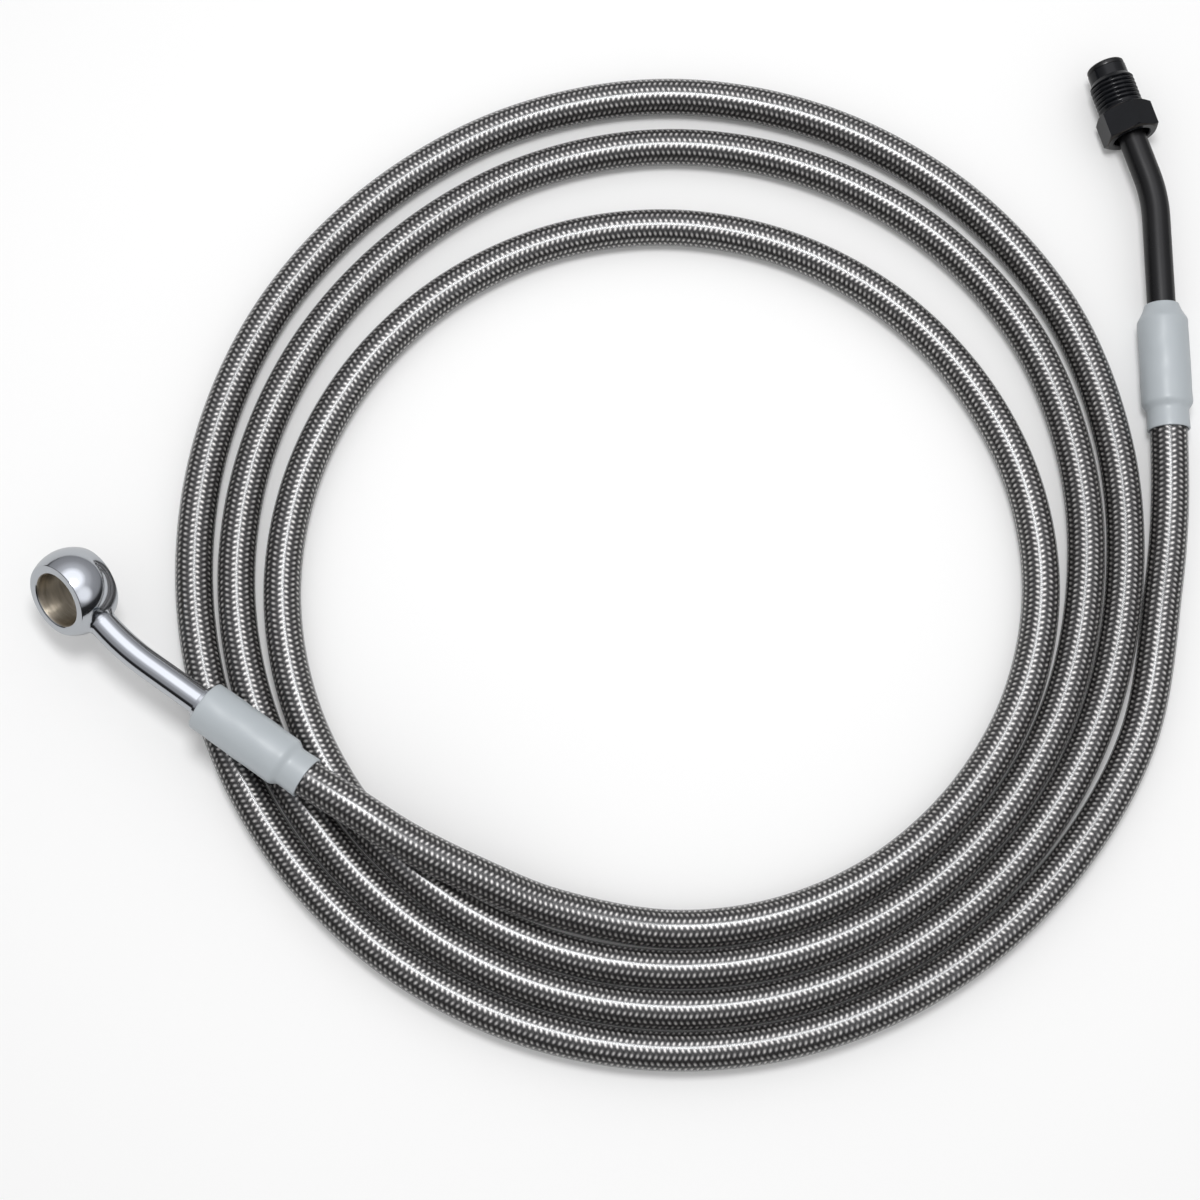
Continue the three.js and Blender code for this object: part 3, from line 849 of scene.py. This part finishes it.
def make_braid_gaps(s, material):
    """The dark layer under the crowns, coloured near-black as painted shade for the holes between
    bundles. It narrows inside the sleeves, to fit the collars.
    """
    narrow_to = HOSE_END - SLEEVE_LIP
    widening = SLEEVE_LIP / 2
    under = HOSE_RADIUS - s.cover - s.weave_depth * GROUND_DEPTH
    outline = []
    for at, _ in even_outline(hose_line, under):
        from_end = min(at, hose_line.length - at)
        fit = np.clip((from_end - narrow_to) / widening, 0, 1)
        outline.append((at, BRAID_RADIUS + (under - BRAID_RADIUS) * fit))
    bore = BRAID_RADIUS - BRAID_WALL
    end = hose_line.length
    outline = [(MM, bore), (0, bore), *outline, (end, bore), (end - MM, bore)]
    piece = ringed("braid_ground", hose_line, outline, JACKET_SIDES, closed=False)
    return dress(piece, material, stands_for=["hose_braid"])


def make_liner(material):
    """The liner inside the braid, with its own bore."""
    out = even_outline(hose_line, LINER_RADIUS)
    back = [(at, LINER_BORE) for at, _ in reversed(out)]
    piece = ringed("liner_tube", hose_line, out + back, LINER_SIDES)
    return dress(piece, material, stands_for=["hose_liner"])


class HOSE_OT_hose(bpy.types.Operator):
    """Makes the liner, the wire braid and the clear jacket along the coiled route"""

    bl_idname = "clutch_hose.hose"
    bl_label = "Hose"

    def execute(self, context):
        s = context.scene.clutch_hose
        make_jacket(clear_material(s))
        wire = wire_material(s)
        for index in range(BRAID_PARTS):
            make_braid_part(s, index, wire)
        make_braid_gaps(s, gap_shade_material(s))
        make_liner(liner_material())
        return {"FINISHED"}


# Sides of the fittings and the eye, the rounding of their edges, and the share of the bore's
# chamfer that the machined metal reaches
FITTING_SIDES = 64
EYE_SIDES = 128
EYE_EDGE = 0.22 * MM
TURNED_EDGE = 0.12 * MM
MACHINED_CHAMFER = 0.7


def collar_outline(hole):
    """Outline of a crimp collar, open towards the hose, whose nose has this hole."""
    nose = hole + COLLAR_NOSE_WALL
    outer = [(COLLAR_MOUTH, COLLAR_RADIUS)]
    pitch = COLLAR_BODY / CRIMP_GROOVES
    for i in range(CRIMP_GROOVES):
        middle = COLLAR_MOUTH + pitch * (i + 0.5)
        low = COLLAR_RADIUS - CRIMP_DEPTH
        outer += [
            (middle - CRIMP_WIDTH / 2 - CRIMP_DEPTH, COLLAR_RADIUS),
            (middle - CRIMP_WIDTH / 2, low),
            (middle + CRIMP_WIDTH / 2, low),
            (middle + CRIMP_WIDTH / 2 + CRIMP_DEPTH, COLLAR_RADIUS),
        ]
    body_end = COLLAR_MOUTH + COLLAR_BODY
    bore = BRAID_RADIUS + SEAT_GAP
    outer += [
        (body_end, COLLAR_RADIUS),
        (body_end + COLLAR_CONE, nose),
        (COLLAR_END, nose),
        (COLLAR_END, hole),
        (COLLAR_FLOOR, hole),
        (COLLAR_FLOOR, bore),
        (COLLAR_MOUTH, bore),
        (COLLAR_MOUTH, COLLAR_RADIUS),
    ]
    return rounded(outer, TURNED_EDGE, 2)[:-1]


def make_collar(name, end, pipe_radius, material, node):
    outline = collar_outline(pipe_radius + SEAT_GAP)
    collar = ringed(name, end.line(), outline, FITTING_SIDES)
    return dress(collar, material, stands_for=[node])


def finish_stem(name, steel):
    """A stem keeps the mesh of its solid, since nothing shows it, and gets its steel."""
    materials = frame["nodes"][name].data.materials
    materials.clear()
    materials.append(steel)


def make_eye(s):
    """Ball with two flat sealing faces, bored through, with soft edges."""
    half, bore, ball = EYE_HALF_WIDTH, EYE_BORE_RADIUS, EYE_RADIUS
    rim = math.asin(half / ball)
    arc = [(ball * math.sin(t), ball * math.cos(t)) for t in np.linspace(-rim, rim, 40)]
    # The outline starts and ends in a flat face
    outline = [
        (-half, bore + EYE_CHAMFER * 3),
        *arc,
        (half, bore + EYE_CHAMFER),
        (half - EYE_CHAMFER, bore),
        (-half + EYE_CHAMFER, bore),
        (-half, bore + EYE_CHAMFER),
        (-half, bore + EYE_CHAMFER * 3),
    ]
    outline = rounded(outline, EYE_EDGE, 3)[:-1]
    line = straight(eye_centre, bore_axis, side=to_neck)
    piece = ringed("banjo_ball", line, outline, EYE_SIDES)
    dress(piece, [plating_material(s), machined_material(s)], stands_for=["banjo_eye"])

    def in_bore(middle):
        _, away = along_and_away(middle, eye_centre, bore_axis)
        return away < bore + EYE_CHAMFER * MACHINED_CHAMFER

    paint_faces(piece, 1, in_bore)
    return piece


def make_neck():
    """The bent pipe from inside the collar to inside the eye."""
    end = neck_line.length
    outer = [(d, NECK_RADIUS) for d in np.linspace(0, end, 60)]
    back = [(d, NECK_BORE) for d in np.linspace(end, 0, 30)]
    neck = ringed("banjo_pipe", neck_line, outer + back, FITTING_SIDES)
    dress(neck, bpy.data.materials["bright plating"], stands_for=["banjo_neck"])


# How far the braze reaches into the ball and the neck, and how thin it runs out on the neck
BRAZE_ROOT = 0.12 * MM
BRAZE_INSIDE = 0.3 * MM
BRAZE_EDGE = 0.03 * MM
# Points of its hollow curve, as shares of its reach along the neck and out from it
BRAZE_CURVE = ((0.32, 0.52), (0.78, 0.2))
BRAZE_ROUNDING = 0.3 * MM
# Waves round the braze where it is thicker than this: how many, their start, and their height
BRAZE_THICK = 0.2 * MM
BRAZE_WAVES = ((3, 1.1, 0.06 * MM), (5, 0.4, 0.04 * MM))


def make_braze(s):
    """The brazed fillet: a hollow curve from the ball to the neck, a little uneven."""
    reach = s.braze
    foot = NECK_RADIUS + reach
    on_ball = math.sqrt(EYE_RADIUS**2 - foot**2)
    at_neck = math.sqrt(EYE_RADIUS**2 - NECK_RADIUS**2) + reach
    curve = [(on_ball - BRAZE_ROOT, foot)]
    curve += [(on_ball + reach * a, NECK_RADIUS + reach * b) for a, b in BRAZE_CURVE]
    curve += [(at_neck, NECK_RADIUS + BRAZE_EDGE)]
    inside = NECK_RADIUS - BRAZE_INSIDE
    inner = [(at_neck, inside), (on_ball - 2 * BRAZE_INSIDE, inside)]

    def uneven(angle, distance, radius):
        wave = sum(np.sin(angle * count + start) * high for count, start, high in BRAZE_WAVES)
        return radius + wave * (radius > NECK_RADIUS + BRAZE_THICK)

    line = straight(eye_centre, to_neck)
    outline = rounded(curve, BRAZE_ROUNDING, 4) + inner
    fillet = ringed("neck_braze", line, outline, FITTING_SIDES, shape=uneven, smooth_angle=60)
    dress(fillet, bpy.data.materials["bright plating"])


class HOSE_OT_banjo(bpy.types.Operator):
    """Makes the banjo eye, its bent neck with the brazed joint, and the collar behind it"""

    bl_idname = "clutch_hose.banjo"
    bl_label = "Banjo end"

    def execute(self, context):
        s = context.scene.clutch_banjo
        make_eye(s)
        make_neck()
        make_braze(s)
        plating = bpy.data.materials["bright plating"]
        make_collar(
            "banjo_collar", banjo_end, NECK_RADIUS, plating, "banjo_crimp_collar"
        )
        finish_stem("banjo_stem", steel_material())
        return {"FINISHED"}


# A sleeve's soft step from its waist to its body: its four points in step lengths from the
# end of the lip, how far the waist is drawn in, its rounding, and the distance between rings
STEP_LENGTH = 0.9 * MM
STEP_PLACES = (-1.8, -0.8, 0.6, 2.0)
WAIST_DEPTH = 0.2 * MM
STEP_ROUNDING = 1.3 * MM
SLEEVE_RINGS = 0.5 * MM
# The film's ripple is noise: the length along a sleeve that counts as one radius round it,
# and the scale of the noise
RIPPLE_LENGTH = 6 * MM
RIPPLE_SCALE = 1.7
# A sleeve's far end: its rounding, how far the film pulls in, its gaps on the tube and on the
# collar's nose, and how the cone starts and ends
END_ROUNDING = 0.6 * MM
END_PULL_IN = 0.3 * MM
TUBE_FIT = 0.15 * MM
NOSE_FIT = 0.05 * MM
CONE_START = 0.3 * MM
CONE_FULLNESS = 0.25 * MM


def lip_and_step(s):
    """Outside of a sleeve from its mouth over the lip, the waist and the step to the body."""
    low = LIP_RADIUS - WAIST_DEPTH
    places = [SLEEVE_LIP + STEP_LENGTH * place for place in STEP_PLACES]
    step = list(zip(places, (low, low, SLEEVE_RADIUS, SLEEVE_RADIUS), strict=True))
    lip = [(0, LIP_BORE), (0, LIP_RADIUS - WAIST_DEPTH / 4), step[0]]
    return rounded(lip, s.rim, 4)[:-1] + rounded(step, STEP_ROUNDING, 6)


def open_end():
    """Far end of the banjo sleeve, cut off straight over the collar's nose."""
    end = BANJO_SLEEVE_END
    outline = [
        (end - 2 * END_ROUNDING, SLEEVE_RADIUS),
        (end, SLEEVE_RADIUS),
        (end, SLEEVE_BORE - END_PULL_IN),
        (end - END_ROUNDING, SLEEVE_BORE),
    ]
    return rounded(outline, END_ROUNDING, 5)


def shrunk_end():
    """Far end of the tube sleeve, shrunk over the collar's nose and onto the tube."""
    tight = TUBE_RADIUS + TUBE_FIT
    wall = SLEEVE_RADIUS - SLEEVE_BORE
    nose_end = COLLAR_END + SEAT_GAP
    body_end = COLLAR_MOUTH + COLLAR_BODY
    on_nose = TUBE_RADIUS + SEAT_GAP + COLLAR_NOSE_WALL + NOSE_FIT
    outline = [
        (body_end - 2 * MM, SLEEVE_RADIUS),
        (body_end + CONE_START, SLEEVE_RADIUS),
        (body_end + COLLAR_CONE + COLLAR_NOSE, tight + wall + CONE_FULLNESS),
        (TUBE_SLEEVE_END, tight + wall),
        (TUBE_SLEEVE_END, tight),
        (nose_end, tight),
    ]
    return [*rounded(outline, END_ROUNDING, 5), (nose_end, on_nose), (body_end, SLEEVE_BORE)]


def with_rings(points, spacing):
    """The outline with points added along it, about the spacing apart."""
    found = []
    for a, b in zip(points, points[1:], strict=False):
        count = max(1, round(abs(b[0] - a[0]) / spacing))
        for i in range(count):
            found.append((a[0] + (b[0] - a[0]) * i / count, a[1] + (b[1] - a[1]) * i / count))
    return [*found, points[-1]]


def sleeve_piece(name, end, far_end, s, seed):
    """Heat-shrink over a collar: a lip on the jacket, a soft step, and its own far end."""
    outline = with_rings([*lip_and_step(s), *far_end], SLEEVE_RINGS)
    outline += [(SLEEVE_LIP + SEAT_GAP, SLEEVE_BORE), (SLEEVE_LIP - SEAT_GAP, LIP_BORE)]

    def shrunk(angle, distance, radius):
        found = np.array(radius)
        for i, j in np.argwhere(found > LIP_RADIUS - WAIST_DEPTH):
            t = angle[0, j]
            spot = Vector((math.cos(t), math.sin(t), distance[i, 0] / RIPPLE_LENGTH + seed))
            found[i, j] += noise.noise(spot * RIPPLE_SCALE) * s.ripple
            full = (found[i, j] - LIP_RADIUS) / (SLEEVE_RADIUS - LIP_RADIUS)
            found[i, j] += s.swell * min(max(full, 0), 1) ** 2
            # What lies on the floor is pressed flat there
            found[i, j] = min(found[i, j], SLEEVE_RADIUS / max(-math.sin(t), 0.5))
        return found

    return ringed(name, end.line(), outline, FITTING_SIDES, shape=shrunk, smooth_angle=50)


class HOSE_OT_sleeves(bpy.types.Operator):
    """Makes the two heat-shrink sleeves"""

    bl_idname = "clutch_hose.sleeves"
    bl_label = "Sleeves"

    def execute(self, context):
        s = context.scene.clutch_sleeves
        film = film_material(s)
        for name, end, far_end, seed, node in (
            ("banjo_heat_shrink", banjo_end, open_end(), 3.1, "banjo_sleeve"),
            ("tube_heat_shrink", tube_end, shrunk_end(), 8.4, "tube_sleeve"),
        ):
            piece = sleeve_piece(name, end, far_end, s, seed)
            dress(piece, film, stands_for=[node])
        return {"FINISHED"}


def make_hard_tube(s):
    """The bent tube from inside the collar to the flare at its tip, and back through its bore."""
    end = tube_line.length
    flare = [
        (end - FLARE_LENGTH, TUBE_RADIUS),
        (end - FLARE_LENGTH, FLARE_RADIUS),
        (end - FLARE_LENGTH / 4, FLARE_RADIUS),
        (end, FLARE_RADIUS - FLARE_LENGTH / 4),
        (end, TUBE_RADIUS),
        (end - FLARE_LENGTH / 2, TUBE_BORE),
    ]
    outline = [(d, TUBE_RADIUS) for d in np.linspace(0, end - FLARE_LENGTH, 60)]
    outline += rounded(flare, TURNED_EDGE, 2)
    outline += [(d, TUBE_BORE) for d in np.linspace(end - FLARE_LENGTH, 0, 40)]
    piece = ringed("bent_tube", tube_line, outline, FITTING_SIDES)
    return dress(piece, coating_material(s), stands_for=["hard_tube"])


# Details of the nut: its small edges, its flat faces inside the chamfers, and its mouth
NUT_EDGE = 0.1 * MM
NUT_FACE_RADIUS = NUT_FLATS / 2 - 0.15 * MM
NUT_FACE_EDGE = 0.02 * MM
NUT_CHAMFER_SLOPE = 1.7
NUT_MOUTH_EDGE = 0.25 * MM
NUT_TIP_GAP = 0.05 * MM
NUT_SIDES = 96
# The thread: rings for each turn, how narrow its grooves are, where it starts, how soon it is
# deep, how soon it fades out, and the length of its tapered tip
THREAD_RINGS = 12
THREAD_SHARPNESS = 2.5
THREAD_START = 0.3 * MM
THREAD_RUN_IN = 0.8 * MM
THREAD_RUN_OUT = 0.5 * MM
THREAD_TAPER = 1.0 * MM
# How wide the worn band is along the chamfers, and how far in from the flats it starts
WORN_BAND = 0.3 * MM
WORN_INSET = 0.35 * MM


def nut_outline(s):
    """Outline of the nut from its back, round the outside to the pilot and through the bore."""
    thread, pilot = NUT_THREAD_RADIUS, NUT_PILOT_RADIUS
    hex_end = NUT_HEX_LENGTH
    ring = s.thread_pitch / THREAD_RINGS
    back = np.linspace(NUT_FACE_EDGE, NUT_CHAMFER, 7)
    middle = np.linspace(NUT_CHAMFER, hex_end - NUT_CHAMFER, 4)[1:]
    front = np.linspace(hex_end - NUT_CHAMFER, hex_end - NUT_FACE_EDGE, 7)[1:]
    outline = [(0, NUT_COUNTERBORE_RADIUS + NUT_MOUTH_EDGE), (0, NUT_FACE_RADIUS)]
    outline += [(d, NUT_CORNER) for d in (*back, *middle, *front)]
    outline += [(hex_end, NUT_FACE_RADIUS), (hex_end, thread)]
    count = round((NUT_THREAD_LENGTH - 2 * NUT_EDGE) / ring)
    outline += [(hex_end + NUT_EDGE + i * ring, thread) for i in range(count)]
    tip = NUT_LENGTH + REST_GAP - NUT_TIP_GAP
    outline += [(hex_end + NUT_THREAD_LENGTH, pilot), (tip - NUT_EDGE, pilot)]
    outline += [(tip, pilot - NUT_EDGE), (tip, NUT_BORE_RADIUS)]
    floor = NUT_COUNTERBORE_DEPTH
    outline += [(floor + NUT_CHAMFER, NUT_BORE_RADIUS), (floor, NUT_COUNTERBORE_RADIUS)]
    return [*outline, (NUT_MOUTH_EDGE, NUT_COUNTERBORE_RADIUS)]


def make_nut(s):
    """Hexagon with turned chamfers, helical thread and plain pilot, loose on the tube."""
    hex_end = NUT_HEX_LENGTH
    thread_end = hex_end + NUT_THREAD_LENGTH
    apothem = NUT_FLATS / 2

    def hexagon(angle, distance, radius):
        flat = apothem / np.cos(np.mod(angle, math.pi / 3) - math.pi / 6)
        cone = NUT_FACE_RADIUS + np.minimum(distance, hex_end - distance) * NUT_CHAMFER_SLOPE
        on_hex = (radius > NUT_THREAD_RADIUS + NUT_EDGE) & (distance < hex_end + NUT_FACE_EDGE / 2)
        return np.where(on_hex, np.minimum(np.minimum(flat, cone), radius), radius)

    def cut(angle, distance, radius):
        turns = distance / s.thread_pitch - angle / (2 * math.pi)
        groove = np.abs(np.mod(turns, 1) * 2 - 1) ** THREAD_SHARPNESS
        to_end = thread_end - distance
        deep = np.clip((distance - hex_end - THREAD_START) / THREAD_RUN_IN, 0, 1)
        deep = deep * np.clip(to_end / THREAD_RUN_OUT, 0, 1)
        taper = (NUT_THREAD_RADIUS - NUT_PILOT_RADIUS) * np.clip(to_end / THREAD_TAPER, 0, 1)
        inside = (distance > hex_end + NUT_EDGE / 2) & (to_end > NUT_FACE_EDGE / 2)
        threaded = inside & (radius > NUT_PILOT_RADIUS + NUT_EDGE)
        found = hexagon(angle, distance, radius)
        cut_in = np.minimum(found - s.thread_depth * groove * deep, NUT_PILOT_RADIUS + taper)
        return np.where(threaded, cut_in, found)

    # The ring's first direction is a corner of the hexagon, and one corner points down
    line = straight(nut_back, nut_ahead, side=UP)
    outline = nut_outline(s)
    piece = ringed("flare_nut_body", line, outline, NUT_SIDES, shape=cut, smooth_angle=28)
    dress(piece, [oxide_material(s), worn_material(s)], NUT_BODY, ["flare_nut"])

    def on_edge(middle):
        along, away = along_and_away(middle, nut_back, nut_ahead)
        ends = np.minimum(along, np.abs(hex_end - along)) < WORN_BAND
        return ends & (away > apothem - WORN_INSET) & (along < hex_end + NUT_EDGE)

    paint_faces(piece, 1, on_edge)
    return piece


class HOSE_OT_tube(bpy.types.Operator):
    """Makes the bent black tube with its flare, its collar, and the loose flare nut"""

    bl_idname = "clutch_hose.tube"
    bl_label = "Tube end"

    def execute(self, context):
        s = context.scene.clutch_tube
        make_hard_tube(s)
        make_nut(s)
        steel = bpy.data.materials["turned steel"]
        make_collar("tube_collar", tube_end, TUBE_RADIUS, steel, "tube_crimp_collar")
        finish_stem("tube_stem", steel)
        return {"FINISHED"}


class HOSE_OT_declare(bpy.types.Operator):
    """Gathers the names of the pieces on the hose into a list, which nothing uses"""

    bl_idname = "clutch_hose.declare"
    bl_label = "Declare hose"

    def execute(self, context):
        on_it = [f"wire_braid_{i + 1}" for i in range(BRAID_PARTS)]
        on_it += ["braid_ground", "liner_tube", "banjo_heat_shrink", "tube_heat_shrink"]
        on_it += ["banjo_collar", "tube_collar", "banjo_stem", "tube_stem"]
        on_it += ["banjo_pipe", "banjo_ball", "neck_braze", "bent_tube", "flare_nut_body"]
        return {"FINISHED"}


# Share of the tent's height, and its brightness there
TENT_LEVELS = [(0.0, 0.02), (0.18, 0.03), (0.3, 0.28), (0.62, 0.36), (0.86, 0.62), (0.97, 1.35)]
# How far the levels climb towards the back and towards the right
TENT_SLOPE = 0.3
TENT_LEAN = 0.06
# The softbox: its direction, where it starts and is full, and its light
SOFTBOX_AT = (0.57, -0.33, 0.752)
SOFTBOX_EDGE = (0.89, 0.99)
SOFTBOX_LIGHT = (1.1, 1.1, 1.14, 1)


def tent_material():
    """Emission that rises from the tent's foot to its top, by the steps of TENT_LEVELS."""
    made = bpy.data.materials.new("tent")
    made.use_nodes = True
    made.node_tree.nodes.clear()
    add = adder(made.node_tree)
    place = add("ShaderNodeTexCoord").outputs["Generated"]
    # Height, and a share of the way to the back and to the right, where the tent is brighter
    climb = {0: place, 1: (2 * TENT_LEAN, 2 * TENT_SLOPE, 1)}
    slope = add("ShaderNodeVectorMath", climb, operation="DOT_PRODUCT")
    middle = {0: slope.outputs["Value"], 1: TENT_SLOPE + TENT_LEAN}
    height = add("ShaderNodeMath", middle, operation="SUBTRACT", use_clamp=True)
    level = add("ShaderNodeValToRGB", {"Fac": height.outputs[0]})
    ramp = level.color_ramp
    while len(ramp.elements) < len(TENT_LEVELS):
        ramp.elements.new(1.0)
    for element, (at, value) in zip(ramp.elements, TENT_LEVELS, strict=True):
        element.position = at
        element.color = (value, value, value * 1.04, 1)
    # A softbox at the front right, high up
    x, y, z = SOFTBOX_AT
    towards = add("ShaderNodeVectorMath", {0: place, 1: (2 * x, 2 * y, z)}, operation="DOT_PRODUCT")
    start, full = (x + y + edge for edge in SOFTBOX_EDGE)
    edge = {"Value": towards.outputs["Value"], "From Min": start, "From Max": full}
    box = add("ShaderNodeMapRange", edge, interpolation_type="SMOOTHSTEP")
    lights = {"Factor": box.outputs["Result"], "A": level.outputs["Color"], "B": SOFTBOX_LIGHT}
    lit = add("ShaderNodeMix", lights, data_type="RGBA")
    glow = add("ShaderNodeEmission", {"Color": lit.outputs["Result"]})
    add("ShaderNodeOutputMaterial", {"Surface": glow.outputs["Emission"]})
    return made


def seen_mask(add):
    """1 for what the camera, metal and glass see, and 0 for the light that falls on things."""
    path = add("ShaderNodeLightPath").outputs
    seen = path["Is Camera Ray"]
    for ray in ("Is Glossy Ray", "Is Transmission Ray"):
        seen = add("ShaderNodeMath", {0: seen, 1: path[ray]}, operation="MAXIMUM").outputs[0]
    return seen


class HOSE_OT_stage(bpy.types.Operator):
    """Makes the pale floor, the reflection tent, the soft light and the white surroundings"""

    bl_idname = "clutch_hose.stage"
    bl_label = "Stage"

    floor_reach = 4.0
    fade_start = 0.35
    fade_end = 1.1
    tent_radius = 1.4
    lamp_place = (0.01, 0.072, 0.53)

    def make_floor(self, s):
        far = self.floor_reach
        corners = [(-far, -far, 0), (far, -far, 0), (far, far, 0), (-far, far, 0)]
        floor = mesh_object("floor", corners, [(0, 1, 2, 3)])
        made, shader, add = plain_material(
            "pale floor",
            Base_Color=(s.floor, s.floor, s.floor, 1),
            Roughness=0.75,
            Specular_IOR_Level=0.1,
            Emission_Color=(1, 1, 1, 1),
        )
        # Metal mirrors the floor a little darker than it is
        path = add("ShaderNodeLightPath").outputs
        levels = {"To Min": s.floor, "To Max": s.floor * s.mirrored_floor}
        tone = add("ShaderNodeMapRange", {"Value": path["Is Glossy Ray"], **levels})
        # Far from the hose the floor fades into the white surroundings
        place = add("ShaderNodeTexCoord").outputs["Object"]
        away = add("ShaderNodeVectorMath", {0: place}, operation="LENGTH")
        limits = {"From Min": self.fade_start, "From Max": self.fade_end, "To Min": s.floor_glow}
        reach = {"Value": away.outputs["Value"], **limits}
        fade = add("ShaderNodeMapRange", reach, interpolation_type="SMOOTHSTEP")
        seen = {0: path["Is Camera Ray"], 1: fade.outputs["Result"]}
        glow = add("ShaderNodeMath", seen, operation="MULTIPLY")
        feed(shader, {"Base Color": tone.outputs["Result"], "Emission Strength": glow.outputs[0]})
        floor.data.materials.append(made)

    def make_tent(self):
        dome = [
            (self.tent_radius * math.sin(t), self.tent_radius * math.cos(t))
            for t in np.linspace(0.002, math.pi / 2 - 0.01, 24)
        ]
        tent = ringed("reflection_tent", straight((0, 0, 0), UP, (1, 0, 0)), dome, 64, closed=False)
        tent.data.materials.append(tent_material())
        tent.visible_camera = tent.visible_diffuse = tent.visible_shadow = False
        tent.visible_transmission = False

    def make_lamp(self, context, s):
        light = bpy.data.lights.new("soft_light", "AREA")
        light.shape = "DISK"
        light.size = s.lamp_size
        light.energy = s.lamp
        lamp = bpy.data.objects.new("soft_light", light)
        lamp.location = self.lamp_place
        lamp.rotation_euler = (-Vector(self.lamp_place)).to_track_quat("-Z", "Y").to_euler()
        lamp.visible_camera = False
        context.scene.collection.objects.link(lamp)

    def make_sky(self, context, s):
        world = bpy.data.worlds.new("white surroundings")
        context.scene.world = world
        world.use_nodes = True
        add = adder(world.node_tree)
        level = add("ShaderNodeMapRange", {"Value": seen_mask(add), "To Min": s.sky, "To Max": 1.0})
        sky = world.node_tree.nodes["Background"]
        feed(sky, {"Color": (1, 1, 1, 1), "Strength": level.outputs["Result"]})

    def execute(self, context):
        s = context.scene.clutch_stage
        self.make_floor(s)
        self.make_tent()
        self.make_lamp(context, s)
        self.make_sky(context, s)
        context.scene.view_settings.view_transform = "Standard"
        return {"FINISHED"}


OPERATORS = (
    HOSE_OT_camera,
    HOSE_OT_hose,
    HOSE_OT_banjo,
    HOSE_OT_sleeves,
    HOSE_OT_tube,
    HOSE_OT_declare,
    HOSE_OT_stage,
)


class HOSE_PT_panel(bpy.types.Panel):
    """Lists the hose's pieces and settings"""

    bl_idname = "HOSE_PT_panel"
    bl_label = "Clutch Hose"
    bl_space_type = "VIEW_3D"
    bl_region_type = "UI"
    bl_category = "Clutch Hose"

    def draw(self, context):
        for operator in OPERATORS:
            self.layout.operator(operator.bl_idname)
        for name in SETTINGS:
            box = self.layout.box()
            settings = getattr(context.scene, name)
            for key in settings.__annotations__:
                box.prop(settings, key)


SETTINGS = {
    "clutch_hose": HoseSettings,
    "clutch_banjo": BanjoSettings,
    "clutch_sleeves": SleeveSettings,
    "clutch_tube": TubeSettings,
    "clutch_stage": StageSettings,
}


def register():
    for cls in (*SETTINGS.values(), *OPERATORS, HOSE_PT_panel):
        bpy.utils.register_class(cls)
    for name, cls in SETTINGS.items():
        setattr(bpy.types.Scene, name, bpy.props.PointerProperty(type=cls))


def unregister():
    for name in SETTINGS:
        delattr(bpy.types.Scene, name)
    for cls in reversed((*SETTINGS.values(), *OPERATORS, HOSE_PT_panel)):
        bpy.utils.unregister_class(cls)


def main():
    register()
    bpy.ops.clutch_hose.camera()
    bpy.ops.clutch_hose.hose()
    bpy.ops.clutch_hose.banjo()
    bpy.ops.clutch_hose.sleeves()
    bpy.ops.clutch_hose.tube()
    bpy.ops.clutch_hose.declare()
    bpy.ops.clutch_hose.stage()


if __name__ == "__main__":
    main()
